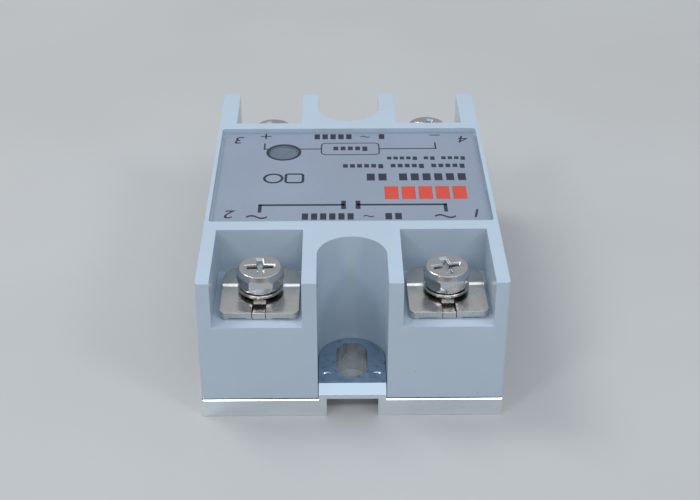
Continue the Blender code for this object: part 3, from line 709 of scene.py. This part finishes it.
@dataclass
class Casing:
    """The moulded shell. A size that differs between the ends is given for the output, then for the input."""

    corner: float = 0.6 * MM
    edge: float = 0.22 * MM
    foot_edge: float = 0.3 * MM
    draft: float = 0.15 * MM
    slot_radius: Pair = (5.12 * MM, 5.3 * MM)
    slot_centre: Pair = (-23.5 * MM, 25.66 * MM)
    bay_x: tuple[Pair, Pair] = ((7.25 * MM, 20.25 * MM), (8.15 * MM, 19.35 * MM))
    bay_wall: Pair = (-16.3 * MM, 19.6 * MM)
    bay_floor: float = 16.0 * MM
    floor_thick: float = 2.0 * MM
    recess_x: Pair = (-21.6 * MM, 21.6 * MM)
    recess_y: Pair = (-13.8 * MM, 17.5 * MM)
    recess_corner: float = 0.5 * MM
    recess_floor: float = 22.4 * MM
    window_radius: float = 2.5 * MM
    chamber_x: float = 20.2 * MM
    chamber_y: Pair = (-14.6 * MM, 17.9 * MM)
    chamber_top: float = 21.0 * MM
    between_slots: Pair = (-16.8 * MM, 18.7 * MM)
    beside_slots: Pair = (6.9 * MM, 29.5 * MM)
    strip_gap: float = 0.1 * MM
    strip_depth: float = 1.1 * MM
    pillar_hole: float = 3.4 * MM

    def build(self) -> Solid:
        """Makes the shell with its slots, bays, recess and the chamber inside.

        Returns:
            The shell.
        """
        low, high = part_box("casing")
        wide, long, top, foot = high.x, high.y, high.z, low.z
        above = top + MM
        shell = Solid.plate(rounded((-wide, wide), (-long, long), self.corner), (foot, top))
        shell.softened(self.foot_edge, 2, 60.0, lambda p: p.z < foot + 0.01 * MM, False)
        for vert in shell.bm.verts:
            if vert.co.z > (foot + top) / 2:
                vert.co.x *= 1 - self.draft / wide
        for i, end in enumerate(End):
            beyond = end.value * (long + 6 * MM)
            slot = u_shape(self.slot_radius[i], self.slot_centre[i], end.value, beyond)
            shell.combined(Solid.plate(slot, (foot - MM, above)))
            for side in (-1, 1):
                bay_x = sorted(side * x for x in self.bay_x[i])
                bay_y = sorted((self.bay_wall[i], beyond))
                shell.combined(Solid.block(bay_x, bay_y, (self.bay_floor, above)))
        recess = rounded(self.recess_x, self.recess_y, self.recess_corner)
        shell.combined(Solid.plate(recess, (self.recess_floor, above)))
        shell.tidied().softened(self.edge, where=lambda p: p.z > foot + self.foot_edge)
        through = (self.chamber_top - MM, self.recess_floor + 0.5 * MM)
        shell.combined(Solid.drum(plan_centre("led_window"), self.window_radius, through))
        return self.hollowed(shell, foot)

    def hollowed(self, shell: Solid, foot: float) -> Solid:
        """Takes the chamber out of the shell, and the pockets that hold the terminals.

        Args:
            shell: The shell.
            foot: Height of its underside.

        Returns:
            The same shell.
        """
        floor_under = self.bay_floor - self.floor_thick
        near, long = self.beside_slots
        for side in (-1, 1):
            x = sorted((side * near, side * self.chamber_x))
            shell.combined(Solid.block(x, (-long, long), (foot - MM, floor_under)))
        middle = (-self.chamber_x, self.chamber_x)
        shell.combined(Solid.block(middle, self.between_slots, (foot - MM, floor_under)))
        shell.combined(Solid.block(middle, self.chamber_y, (foot - MM, self.chamber_top)))
        for node in (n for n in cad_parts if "_terminal_" in n):
            low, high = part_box(node)
            x, y = ((a - self.strip_gap, b + self.strip_gap) for a, b in zip(low.xy, high.xy))
            shell.combined(Solid.block(x, y, (self.bay_floor - self.strip_depth, self.bay_floor + MM)))
            through = (floor_under - MM, self.bay_floor)
            shell.combined(Solid.drum(plan_centre(node), self.pillar_hole, through, 48))
        return shell

    def dress(self) -> None:
        """Adds the casing to the relay."""
        shell = self.build().piece("casing_shell", CASING_ABS, slot="casing_abs")
        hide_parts("casing")


@dataclass
class BasePlate:
    """The die-cast base with its lugs. A size that differs between them is the output's, then the input's."""

    corner: float = 0.5 * MM
    edge: float = 0.2 * MM
    rim: float = 0.105 * MM
    thick: float = 3.0 * MM
    lug_radius: Pair = (5.02 * MM, 5.2 * MM)
    lug_centre: Pair = (-23.5 * MM, 25.66 * MM)
    lug_foot: float = 1.0 * MM
    lug_shoulder: float = 4.9 * MM
    lip: float = 3.88 * MM
    chamfer_run: float = 1.35 * MM
    chamfer_reach: float = 8.0 * MM
    notch_half: float = 3.83 * MM
    notch_long: float = 5.75 * MM
    notch_tall: float = 3.13 * MM
    hole_radius: float = 2.36 * MM
    hole_edge: float = 0.08 * MM
    holes_end: float = 28.6 * MM
    oblong: Pair = (-25.94 * MM, -22.06 * MM)
    round_hole: float = 25.0 * MM
    mark_at: Pair = (3.6 * MM, 2.9 * MM)
    mark_radius: float = 1.2 * MM
    mark_depth: float = 0.13 * MM

    def build(self) -> Solid:
        """Makes the plate, its lugs, the two mounting holes and the marks of the ejector pins.

        Returns:
            The base.
        """
        low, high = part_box("base_plate")
        plate = Solid.plate(rounded((low.x, high.x), (low.y, high.y), self.corner), (low.z, self.thick))
        plate.softened(self.rim, 1, 60.0, lambda p: p.z > self.thick - 0.01 * MM, False)
        plate.softened(self.rim, 2, 60.0, lambda p: p.z < 0.01 * MM, False)
        for i, end in enumerate(End):
            self.add_lug(plate, i, end.value, end.value * high.y, high.z)
        r = self.hole_radius
        oblong = [*arc((0.0, self.oblong[1]), r, 0, 180, 32), *arc((0.0, self.oblong[0]), r, 180, 360, 32)]
        through = (-MM, high.z + MM)
        plate.combined(Solid.plate(oblong, through))
        plate.combined(Solid.drum((0.0, self.round_hole), r, through))
        plate.tidied()
        plate.softened(self.edge, where=lambda p: p.z > self.thick + 0.1 * MM and not self.by_hole(p))
        plate.softened(self.hole_edge, 2, where=lambda p: p.z > high.z - 0.01 * MM and self.by_hole(p))
        x, inset = self.mark_at
        for side in (-1, 1):
            for end in End:
                at = (side * x, end.value * (high.y - inset))
                plate.combined(Solid.drum(at, self.mark_radius, (high.z - self.mark_depth, high.z + MM), 32))
        return plate

    def add_lug(self, plate: Solid, i: int, sign: int, edge: float, top: float) -> None:
        """Adds the lug at one end, with the notch under it and the slope down to its lip.

        Args:
            plate: What it is added to.
            i: Which of the sizes in pairs are its own.
            sign: The sign of its y.
            edge: The plate's edge there.
            top: Height of the lug's top.
        """
        outline = u_shape(self.lug_radius[i], self.lug_centre[i], sign, edge)
        plate.combined(Solid.plate(outline, (self.lug_foot, top)), "UNION")
        notch_y = sorted((edge + sign * MM, edge - sign * self.notch_long))
        plate.combined(Solid.block((-self.notch_half, self.notch_half), notch_y, (-MM, self.notch_tall)))
        slope = (top - self.lip) / self.chamfer_run
        wedge = [(edge + sign * MM, self.lip - slope * MM), (edge + sign * MM, top + MM),
                 (edge - sign * (self.chamfer_run + MM / slope), top + MM)]
        plate.combined(Solid.plate(wedge, (-self.chamfer_reach, self.chamfer_reach), facing="X"))

    def by_hole(self, point: Vector) -> bool:
        """Whether a point is on the wall of a mounting hole."""
        return abs(point.x) < 1.1 * self.hole_radius and abs(point.y) < self.holes_end

    def dress(self) -> None:
        """Adds the base: bright all over, duller on the lugs' tops and in the holes, with a painted
        reflection on the lugs' tops and painted shade in the holes.
        """
        plate = self.build().piece("base_casting", BASE_SKIN, slot="die_cast_aluminium")
        for finish in (LUG_PAINTED_REFLECTION, HOLE_WALL_PAINTED_SHADE):
            plate.data.materials.append(finish.build())
        # Walls of the holes take the painted shade, the lugs' tops the painted reflection
        for face in plate.data.polygons:
            if abs(face.normal.z) < 0.5 and self.by_hole(face.center):
                face.material_index = 2
            elif face.center.z > self.lug_shoulder and face.normal.z > 0.9:
                face.material_index = 1
        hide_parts("base_plate")


# ------------------------------------------------------------------ terminals


@dataclass
class ScrewShape:
    """The captive terminal screw about its own axis, with the underside of its head at z = 0.

    The head is a barrel with a round collar above and six flats below, and a cross recess.
    """

    top: float = 3.03 * MM
    disc_radius: float = 3.02 * MM
    barrel: tuple[Pair, ...] = ((3.12, 2.96), (3.24, 2.7), (3.4, 2.3), (3.49, 1.85), (3.5, 1.4),
                                (3.44, 0.9), (3.28, 0.45), (3.1, 0.1), (3.0, 0.0))
    edge: float = 0.06 * MM
    flat_distance: float = 3.08 * MM
    flat_top: float = 2.0 * MM
    flat_lean: float = 0.12 * MM
    flat_shoulder: Pair = (0.5 * MM, 0.25 * MM)
    thread_core: float = 1.62 * MM
    thread_crest: float = 1.95 * MM
    pitch: float = 0.7 * MM
    tip: float = -7.78 * MM
    tip_chamfer: float = 0.5 * MM
    cross_span: float = 4.75 * MM
    cross_width: float = 1.24 * MM
    cross_depth: float = 1.0 * MM
    lead_in: Triple = (0.42 * MM, 0.2 * MM, 0.3 * MM)
    slot_taper: Pair = (0.3 * MM, 0.08 * MM)

    def head(self) -> Solid:
        """Makes the head, softened, with its recess.

        Returns:
            The head.
        """
        side = [(r * MM, z * MM) for r, z in self.barrel]
        head = Solid.turned([(0.0, self.top), (self.disc_radius, self.top), *side, (0.0, 0.0)], 96)
        inner, outer, low = self.flat_distance / math.cos(math.pi / 6), 6 * MM, -MM
        run, rise = self.flat_shoulder
        ring = [(inner, self.flat_top), (inner + run, self.flat_top + rise), (outer, self.flat_top + rise),
                (outer, low), (inner - self.flat_lean, low)]
        head.combined(Solid.turned(ring, 6, ring=True)).tidied().softened(self.edge, 2, 13.0)
        head.combined(self.arm().combined(self.arm().rotated(90.0), "UNION")).tidied()
        near = self.cross_span / 2 + 0.225 * MM
        return head.softened(self.edge, 2, 30.0, lambda p: p.z > self.top - 0.01 * MM and p.xy.length < near)

    def arm(self) -> Solid:
        """Makes the cutter of two opposite wings of the cross: a sloping lead-in over a steeper slot.

        Returns:
            The cutter, along X.
        """
        span, width = self.cross_span / 2, self.cross_width / 2
        back, narrow, deep = self.lead_in
        waist = (span - back, width - narrow)
        mouth = self.taper((span, width), waist, self.top - deep, self.top + 0.03 * MM)
        foot = (waist[0] - self.slot_taper[0], waist[1] - self.slot_taper[1])
        slot = self.taper(waist, foot, self.top - self.cross_depth, self.top - deep + 0.01 * MM)
        return mouth.combined(slot, "UNION")

    def taper(self, head: Pair, foot: Pair, low: float, high: float) -> Solid:
        """Makes a block that narrows downwards.

        Args:
            head: Half its length and half its width at the top.
            foot: The same at the bottom.
            low: Height of its bottom.
            high: Height of its top.

        Returns:
            The block.
        """
        block = Solid.block((-1.0, 1.0), (-1.0, 1.0), (low, high))
        for vert in block.bm.verts:
            half = head if vert.co.z > (low + high) / 2 else foot
            vert.co.x *= half[0]
            vert.co.y *= half[1]
        return block

    def shank(self) -> Solid:
        """Makes the threaded shank with its chamfered tip.

        Returns:
            The shank.
        """
        top, core, chamfer = 0.1 * MM, self.thread_core, self.tip_chamfer
        shank = Solid.turned([(0.0, top), (core, top), (core, self.tip + chamfer), (core - chamfer, self.tip),
                              (0.0, self.tip)], 36)
        start, end = self.tip + 0.45 * MM, -0.6 * MM
        turns = (end - start) / self.pitch
        half, crest, root = self.pitch * 0.44, self.pitch * 0.07, core - 0.04 * MM
        ridge = [(root, start - half), (self.thread_crest, start - crest), (self.thread_crest, start + crest),
                 (root, start + half)]
        return shank.with_loose(Solid.coil(ridge, 2 * math.pi * turns, turns * self.pitch, int(turns * 36)))

    def build(self) -> Solid:
        """The whole screw."""
        return self.head().with_loose(self.shank())


@dataclass
class WasherShape:
    """A split spring washer about the screw's axis, its foot at z = 0: one turn of wire, not quite closed."""

    height: float
    inner: float = 2.15 * MM
    outer: float = 3.36 * MM
    thick: float = 0.45 * MM
    edge: float = 0.08 * MM
    gap_degrees: float = 7.0

    def build(self) -> Solid:
        """Makes the ring, rising along its length to the washer's height.

        Returns:
            The ring.
        """
        r0, r1, z1, e = self.inner, self.outer, self.thick, self.edge
        section = [(r0, 0.0), (r1 - e, 0.0), (r1, e), (r1, z1 - e), (r1 - e, z1), (r0, z1)]
        turn = math.radians(360 - self.gap_degrees)
        return Solid.coil(section, turn, self.height - self.thick - 0.02 * MM, 90)


@dataclass
class ClampShape:
    """A pressed wire clamp about the screw's axis, from its side view and its plan."""

    end: End
    thick: float = 1.0 * MM
    edge: float = 0.16 * MM
    bore: float = 2.3 * MM
    step: float = 0.75 * MM
    step_rise: float = 0.3 * MM
    heel: float = 0.9 * MM
    tongue_half: float = 0.98 * MM
    tongue_edge: float = 0.13 * MM
    tongue_root: float = -2.2 * MM
    slit: float = 0.05 * MM
    relief_x: Pair = (1.9 * MM, 4.4 * MM)
    relief_tall: float = 0.2 * MM

    def __post_init__(self) -> None:
        """Reads the clamp's size from the frame."""
        low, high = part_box("wire_clamp_1" if self.end is End.OUTPUT else "wire_clamp_3")
        self.wide, self.long = (high.x - low.x) / 2, (high.y - low.y) / 2
        self.floor, self.top = low.z, high.z

    def side(self) -> list[Pair]:
        """The side view. The output's has a sloping front half, a step, a level rear half and a heel.

        Returns:
            The points, as (y, z).
        """
        half, top, floor, under, heel = self.long, self.top, self.floor, self.top - self.thick, self.heel
        if self.end is End.INPUT:
            return [(half, floor), (half, floor + heel), (half - 1.4 * MM, top), (-half, top), (-half, floor),
                    (heel - half, floor), (heel - half, under), (half - 1.6 * MM, under)]
        step_top = top - self.step_rise
        return [(-half, floor), (self.step, step_top - self.thick), (self.step + 0.7 * MM, under),
                (half - MM, under), (half - MM, floor), (half, floor), (half, top),
                (self.step + 0.3 * MM, top), (self.step, step_top),
                (0.5 * MM - half, floor + 1.14 * MM), (-half, floor + 1.1 * MM)]

    def tongue_side(self) -> list[Pair]:
        """The tongue's side view: it dips below the clamp's top and turns up again at the front.

        Returns:
            The points, as (y, z).
        """
        front, floor, root = -self.long, self.floor, self.tongue_root
        dip = floor + 0.78 * MM
        return [(front, floor), (root + 0.3 * MM, floor), (root + 0.3 * MM, floor + 1.3 * MM),
                (root - 0.35 * MM, floor + 1.26 * MM), (root - 0.95 * MM, dip),
                (front + 0.75 * MM, dip - 0.06 * MM), (front + 0.42 * MM, floor + 1.08 * MM),
                (front, floor + 1.1 * MM)]

    def build(self) -> Solid:
        """Makes the clamp, pierced for the screw, with its tongue slit free.

        Returns:
            The clamp.
        """
        clamp = Solid.plate(self.side(), (-self.wide, self.wide), facing="X")
        through = (self.floor - MM, self.floor + 3 * MM)
        clamp.combined(Solid.plate(self.plan(), through), "INTERSECT")
        bore = Solid.drum((0.0, 0.0), self.bore, through, 48)
        if self.end is End.INPUT:
            return clamp.combined(bore).tidied().softened(self.edge)
        gap = self.tongue_half + self.slit
        clamp.combined(Solid.block((-gap, gap), (-self.long - MM, self.tongue_root), through))
        relief_y, relief_z = (-self.long - MM, -self.long + MM), (through[0], self.floor + self.relief_tall)
        for side in (-1, 1):
            clamp.combined(Solid.block(sorted(side * x for x in self.relief_x), relief_y, relief_z))
        clamp.tidied().softened(self.edge)
        tongue = Solid.plate(self.tongue_side(), (-self.tongue_half, self.tongue_half), facing="X")
        return clamp.combined(tongue.softened(self.tongue_edge), "UNION").combined(bore)

    def plan(self) -> list[Pair]:
        """The plan. The output's has small corners at the wire's side and larger ones behind.

        Returns:
            The points, as (x, y).
        """
        wide, long = self.wide, self.long
        front, rear = (1.0 * MM, 3.2 * MM) if self.end is End.OUTPUT else (0.8 * MM, 0.8 * MM)
        return [*arc((wide - rear, long - rear), rear, 0, 90, 8),
                *arc((-wide + rear, long - rear), rear, 90, 180, 8),
                *arc((-wide + front, -long + front), front, 180, 270, 8),
                *arc((wide - front, -long + front), front, 270, 360, 8)]


@dataclass
class Terminals:
    """The four screw terminals, in the order of their numbers."""

    turns: tuple[float, ...] = (13.0, 4.0, 24.0, -17.0)
    clamp_turns: tuple[float, ...] = (1.2, -0.8, 0.6, -0.9)
    under_head: float = 0.04 * MM

    def dress(self) -> None:
        """Puts a screw, a spring washer and a clamp on each terminal's axis."""
        screw = ScrewShape().build()
        clamps = {end: ClampShape(end).build() for end in End}
        for number, turn in enumerate(self.turns, 1):
            end = End.OUTPUT if number < 3 else End.INPUT
            x, y = plan_centre(f"spring_washer_{number}")
            low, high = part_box(f"spring_washer_{number}")
            washer = WasherShape(high.z - low.z).build().rotated(turn * 3).moved(x, y, low.z)
            self.put(washer, "spring_washer", number, SPRING_STEEL, "clamp", "spring_steel")
            clamp = clamps[end].copy().rotated(self.clamp_turns[number - 1]).moved(x, y)
            self.put(clamp, "wire_clamp", number, SATIN_NICKEL, "clamp", "nickel_plate")
            fitted = screw.copy().rotated(turn).moved(x, y, high.z + self.under_head)
            self.put(fitted, "terminal_screw", number, NICKEL, "screw", "nickel_plate")

    def put(self, solid: Solid, kind: str, number: int, finish: Finish, body: str, slot: str) -> None:
        """Makes one piece in place of the CAD node of its kind and number."""
        made = solid.piece(f"{kind}_{number}_fine", finish, f"{body}_{number}", slot)
        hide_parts(f"{kind}_{number}")


# ------------------------------------------------------------------ label


@dataclass
class Label:
    """The silver label with its printed circuit symbol and terminal numbers.

    Its methods take places and sizes in millimetres.
    """

    corner: float = 1.0 * MM
    ink: float = 0.02 * MM
    window_radius: float = 2.5 * MM
    ring_width: float = 0.45
    thin_half: float = 0.13
    figure_tall: float = 2.5
    crown: float = 0.12 * MM

    def __post_init__(self) -> None:
        """Reads the film's place and the window's from the frame."""
        self.low, self.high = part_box("label_plate")
        self.window = plan_centre("led_window")
        self.print_z = (self.high.z - 0.005 * MM, self.high.z + self.ink)

    def bar(self, x: Pair, y: Pair) -> Solid:
        """A printed rectangle."""
        x, y = sorted(v * MM for v in x), sorted(v * MM for v in y)
        return Solid.block(x, y, self.print_z)

    def figure(self, words: str, x: float, y: float, lean: float = 0.2) -> Solid:
        """Prints a number, upside down towards -Y, as the label is printed.

        Args:
            words: The characters.
            x: Where their middle is.
            y: Where their middle is.
            lean: How far they lean, as a share of their height.

        Returns:
            The print.
        """
        curve = bpy.data.curves.new("characters", "FONT")
        curve.body = words
        curve.size = self.figure_tall * MM / 0.72
        curve.shear = lean
        curve.extrude = self.ink / 2
        curve.align_x = "CENTER"
        curve.align_y = "CENTER"
        curve.resolution_u = 6
        holder = bpy.data.objects.new("characters", curve)
        bpy.context.scene.collection.objects.link(holder)
        bpy.context.view_layer.update()
        mesh = bpy.data.meshes.new_from_object(holder.evaluated_get(bpy.context.evaluated_depsgraph_get()))
        bpy.data.objects.remove(holder, do_unlink=True)
        bm = bmesh.new()
        bm.from_mesh(mesh)
        bpy.data.meshes.remove(mesh)
        bmesh.ops.remove_doubles(bm, verts=bm.verts, dist=1e-8)
        return Solid(bm).rotated(180).moved(x * MM, y * MM, self.high.z + self.ink / 2)

    def film(self) -> Solid:
        """Makes the film, holed for the window.

        Returns:
            The film.
        """
        outline = rounded((self.low.x, self.high.x), (self.low.y, self.high.y), self.corner)
        film = Solid.plate(outline, (self.low.z, self.high.z))
        return film.combined(Solid.drum(self.window, self.window_radius, (self.low.z - MM, self.high.z + MM)))

    def ring(self, x: float, y: float, radius: float, width: float) -> Solid:
        """Prints a ring.

        Args:
            x: Where its middle is.
            y: Where its middle is.
            radius: Its outer radius.
            width: Width of its line.

        Returns:
            The print.
        """
        low, high = self.print_z
        inner, outer = (radius - width) * MM, radius * MM
        profile = [(inner, high), (outer, high), (outer, low), (inner, low)]
        return Solid.turned(profile, 64, ring=True).moved(x * MM, y * MM)

    def round_box(self, x: Pair, y: Pair, radius: float, width: float) -> Solid:
        """Prints the outline of a box with round corners.

        Args:
            x: Its lowest and highest x.
            y: Its lowest and highest y.
            radius: Radius of its corners.
            width: Width of its line.

        Returns:
            The print.
        """
        x, y = [v * MM for v in x], [v * MM for v in y]
        radius, width = radius * MM, width * MM
        outer = Solid.plate(rounded(x, y, radius), self.print_z)
        hole = rounded((x[0] + width, x[1] - width), (y[0] + width, y[1] - width), radius - width)
        return outer.combined(Solid.plate(hole, (self.print_z[0] - MM, self.print_z[1] + MM)))

    def wave(self, x: float, y: float, half: float = 1.6, height: float = 0.4, width: float = 0.42) -> Solid:
        """Prints one period of a wave, the sign for alternating current.

        Args:
            x: Where its middle is.
            y: Where its middle is.
            half: Half its length.
            height: How far it swings to each side.
            width: Width of its line.

        Returns:
            The print.
        """
        steps = 24
        shares = [i / steps for i in range(steps + 1)]
        line = [(half * (2 * share - 1), height * math.sin(2 * math.pi * share)) for share in shares]
        upper = [((x + u) * MM, (y + v + width / 2) * MM) for u, v in line]
        lower = [((x + u) * MM, (y + v - width / 2) * MM) for u, v in reversed(line)]
        return Solid.plate([*lower, *upper][::-1], self.print_z)

    def output_marks(self) -> list[Solid]:
        """Prints the output's contact symbol, its wave signs and its numbers.

        Returns:
            The prints.
        """
        marks = [self.figure("2", -18.6, -10.1), self.figure("1", 19.6, -10.1)]
        line_y, contact_x, contact_y = (-7.2, -7.7), (0.75, 1.5), (-6.2, -8.75)
        for side, far in ((-1, 14.4), (1, 15.0)):
            marks.append(self.bar((side * 0.95, side * far), line_y))
            marks.append(self.bar([side * x for x in contact_x], contact_y))
            marks.append(self.bar((side * (far - 0.55), side * far), (line_y[0], -9.7)))
            marks.append(self.wave(side * 14.5, -11.1))
        return marks

    def input_marks(self) -> list[Solid]:
        """Prints the ring round the window, the input's box and lines, its signs and its numbers.

        Returns:
            The prints.
        """
        y, t = 11.5, self.thin_half
        line_y, left, right = (y - t, y + t), (-14.4, -14.14), (14.34, 14.6)
        marks = [self.bar((left[0], -13.6), line_y), self.bar((-8.3, -4.7), line_y),
                 self.bar((5.0, right[1]), line_y), self.bar(left, (y - t, 13.6)),
                 self.bar(right, (y - t, 13.7)),
                 self.round_box((-4.8, 5.05), (9.3, 13.7), 0.9, 0.2)]
        ring_radius = self.window_radius / MM + self.ring_width - 0.02
        marks.append(self.ring(self.window[0] / MM, self.window[1] / MM, ring_radius, self.ring_width))
        marks += [self.bar((-15.1, -13.3), (16.15, 16.4)), self.bar((-14.33, -14.07), (15.3, 17.25)),
                  self.bar((13.7, 15.5), (16.35, 16.6))]
        return [*marks, self.figure("3", -18.5, 15.0), self.figure("4", 19.5, 15.0)]

    def words(self, right: float, base: float, tall: float, pitch: float, lengths: tuple[int, ...],
              small: float = 1.0) -> list[Solid]:
        """Prints plain blocks, one for each character of a line of words, which run from right towards -X.

        Args:
            right: Where the line starts.
            base: The foot of the line. Its characters stand towards -Y, as the label is printed.
            tall: Height of a word's first block.
            pitch: From one block to the next.
            lengths: Blocks in each word.
            small: Height of the other blocks, as a share of the first one's.

        Returns:
            The blocks.
        """
        blocks, x = [], right
        for length in lengths:
            for i in range(length):
                height = tall if i == 0 else tall * small
                blocks.append(self.bar((x - 0.68 * pitch, x), (base - height, base)))
                x -= pitch
            x -= 0.75 * pitch
        return blocks

    def rows(self) -> list[Solid]:
        """Prints blocks that stand for words, and plain shapes that stand for a mark.

        Returns:
            The prints.
        """
        lines = (
            (19.1, 8.6, 1.2, 1.06, (4, 2, 5), 0.8), (18.8, 6.0, 1.45, 1.16, (5, 5, 6), 0.8),
            (18.7, 2.7, 2.3, 1.9, (6, 2)), (3.0, 12.3, 1.6, 1.22, (5,), 0.8), (7.8, -10.1, 1.9, 1.5, (2,)),
            (0.4, -10.1, 1.9, 1.4, (6,)), (6.0, 16.9, 1.8, 1.4, (1,)), (0.4, 16.9, 1.8, 1.35, (5,)),
        )
        marks = [block for line in lines for block in self.words(*line)]
        marks += [self.wave(2.7, y, 0.8, 0.2, 0.26) for y in (-11.0, 16.0)]
        marks.append(self.round_box((-10.6, -7.4), (-0.4, 2.9), 0.7, 0.42))
        return [*marks, self.ring(-12.4, 1.25, 1.65, 0.42)]

    def red_bars(self) -> list[Solid]:
        """The five equal blocks of the red line."""
        return [self.bar((5.4 + 2.7 * i, 7.6 + 2.7 * i), (-1.6, -5.7)) for i in range(5)]

    def dress(self) -> None:
        """Adds the film, the dark print, the red bars and the window."""
        film = self.film().piece("label_film", LABEL_FILM, slot="label_film", weighted=False)
        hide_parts("label_plate")
        dark = [*self.output_marks(), *self.input_marks(), *self.rows()]
        for name, marks, ink in (("dark", dark, INK_DARK), ("red", self.red_bars(), INK_RED)):
            joined = Solid(bmesh.new())
            for mark in marks:
                joined.with_loose(mark)
            joined.piece(f"label_print_{name}", ink, slot="label_film", weighted=False)
        self.dress_window()

    def dress_window(self) -> None:
        """Adds the window: a smoked disc with a softly rounded rim and a shallow crown."""
        low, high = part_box("led_window")
        radius = (high.x - low.x) / 2
        crown = [(radius * math.sin(math.radians(a)) / math.sin(math.radians(40)),
                  high.z - self.crown * (a / 40) ** 2) for a in range(0, 36, 5)]
        profile = [*crown, (radius - 0.05 * MM, high.z - 0.13 * MM), (radius, high.z - 0.2 * MM),
                   (radius, low.z), (0.0, low.z)]
        window = Solid.turned(profile, 64).moved(*self.window)
        made = window.piece("indicator_window", WINDOW_RESIN, slot="window", weighted=False)
        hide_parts("led_window")


# ------------------------------------------------------------------ inside and surroundings


@dataclass
class Inside:
    """The CAD nodes whose shape is right, which get their finish here."""

    def finishes(self) -> dict[str, Finish]:
        """Lists what the kept nodes are made of.

        Returns:
            Each node's finish, by the start of its name.
        """
        return {
            "output_terminal": TINNED_BRASS, "input_terminal": TINNED_BRASS, "base_seal": SILICONE,
            "circuit_board": LAMINATE, "ceramic_insulator": ALUMINA, "triac_body": BLACK_EPOXY,
            "triac_tab": TINNED_COPPER, "triac_lead": TINNED_COPPER, "triac_gate_lead": TINNED_COPPER,
            "snubber_resistor": LACQUER, "input_resistor": LACQUER, "rectifier_diode": BLACK_EPOXY,
            "snubber_capacitor": FILM_CASE, "optocoupler": WHITE_EPOXY, "limiter_transistor": BLACK_EPOXY,
            "indicator_led": LED_RESIN,
        }

    def dress(self) -> None:
        """Gives every kept node its material."""
        for start, finish in self.finishes().items():
            for name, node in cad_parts.items():
                if name.startswith(start):
                    node.data.materials.clear()
                    node.data.materials.append(finish.build())
                    LOG.info("%s keeps its shape and takes %s", name, finish.name)


@dataclass(frozen=True)
class Lamp:
    """A soft rectangular light that faces the relay."""

    name: str
    at: Triple
    size: Pair
    power: float
    colour: str

    def build(self) -> None:
        """Adds the light."""
        data = bpy.data.lights.new(self.name, "AREA")
        data.shape = "RECTANGLE"
        data.size, data.size_y = self.size
        data.energy = self.power
        data.color = linear(self.colour)[:3]
        lamp = bpy.data.objects.new(self.name, data)
        lamp.location = self.at
        lamp.rotation_euler = (-Vector(self.at)).to_track_quat("-Z", "Y").to_euler()
        bpy.context.scene.collection.objects.link(lamp)


@dataclass
class Studio:
    """Floor, light and camera. The camera's angles are in degrees, and the dome's heights run from 0 to 1."""

    floor_half: float = 1.5
    camera_at: Triple = (-2.1 * MM, -187.3 * MM, 125.2 * MM)
    down: float = 31.64
    aside: float = 0.63
    lens: float = 68.3
    lamps: tuple[Lamp, ...] = (
        Lamp("key_left", (-0.45, 0.25, 0.85), (0.35, 0.35), 2.7, "#FAFAFA"),
        Lamp("strip_front", (0.05, -0.68, 0.79), (0.7, 0.14), 1.9, "#F4F8FC"),
        Lamp("front_left", (-0.58, -0.6, 0.72), (0.22, 0.22), 1.85, "#F2F7FC"),
        Lamp("front_right", (0.64, -0.55, 0.72), (0.22, 0.22), 1.75, "#F2F7FC"),
    )
    dome: tuple[tuple[float, str], ...] = ((0.0, "#B3AFAB"), (0.5, "#B0AFAE"), (0.62, "#BEC2C6"),
                                           (0.8, "#D3E6F6"))
    dome_strength: float = 0.98
    shade_towards: Triple = (0.0, -0.92, 0.39)
    shade_reach: Pair = (0.9, 0.97)
    shade_share: float = 0.4
    shade_colour: str = "#30343C"

    def dress(self) -> None:
        """Builds the surroundings."""
        self.floor()
        self.world()
        for lamp in self.lamps:
            lamp.build()
        self.camera()

    def floor(self) -> None:
        """A plain pale floor."""
        bm = bmesh.new()
        bmesh.ops.create_grid(bm, x_segments=1, y_segments=1, size=self.floor_half)
        mesh = bpy.data.meshes.new("floor")
        bm.to_mesh(mesh)
        bm.free()
        mesh.materials.append(TABLE.build())
        floor = bpy.data.objects.new("floor", mesh)
        bpy.context.scene.collection.objects.link(floor)

    def world(self) -> None:
        """Light from all round: warm grey low down, cool overhead, and dark where a viewer would stand."""
        world = bpy.data.worlds.new("studio")
        world.use_nodes = True
        tree = world.node_tree
        place = add_node(tree, "TexCoord", output="Generated")
        ramp = add_node(tree, "ValToRGB", {"Fac": add_node(tree, "SeparateXYZ", {0: place}, "Z")}, "Color")
        stops = ramp.node.color_ramp.elements
        while len(stops) < len(self.dome):
            stops.new(1.0)
        for stop, (position, colour) in zip(stops, self.dome):
            stop.position = position
            stop.color = linear(colour)
        aim = add_node(tree, "VectorMath", {0: place, 1: self.shade_towards}, "Value",
                       operation="DOT_PRODUCT")
        start, end = self.shade_reach
        shade = add_node(tree, "MapRange", {"Value": aim, "From Min": start, "From Max": end,
                                            "To Max": self.shade_share})
        mix = add_node(tree, "Mix", {"Factor": shade, 6: ramp, 7: linear(self.shade_colour)}, 2,
                       data_type="RGBA")
        background = tree.nodes["Background"].inputs
        tree.links.new(mix, background["Color"])
        background["Strength"].default_value = self.dome_strength
        bpy.context.scene.world = world

    def camera(self) -> None:
        """The camera, looking down along +Y."""
        data = bpy.data.cameras.new("camera")
        data.lens = self.lens
        data.clip_start = 0.01
        camera = bpy.data.objects.new("camera", data)
        camera.location = self.camera_at
        camera.rotation_euler = (math.radians(90 - self.down), 0.0, -math.radians(self.aside))
        bpy.context.scene.collection.objects.link(camera)
        bpy.context.scene.camera = camera


def main() -> None:
    """Builds the relay's looks, piece by piece."""
    logging.basicConfig(level=logging.INFO, format="%(name)s %(message)s")
    bpy.context.scene.view_settings.view_transform = "Standard"
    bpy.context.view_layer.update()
    Casing().dress()
    BasePlate().dress()
    Terminals().dress()
    Label().dress()
    Inside().dress()
    Studio().dress()


if __name__ == "__main__":
    main()
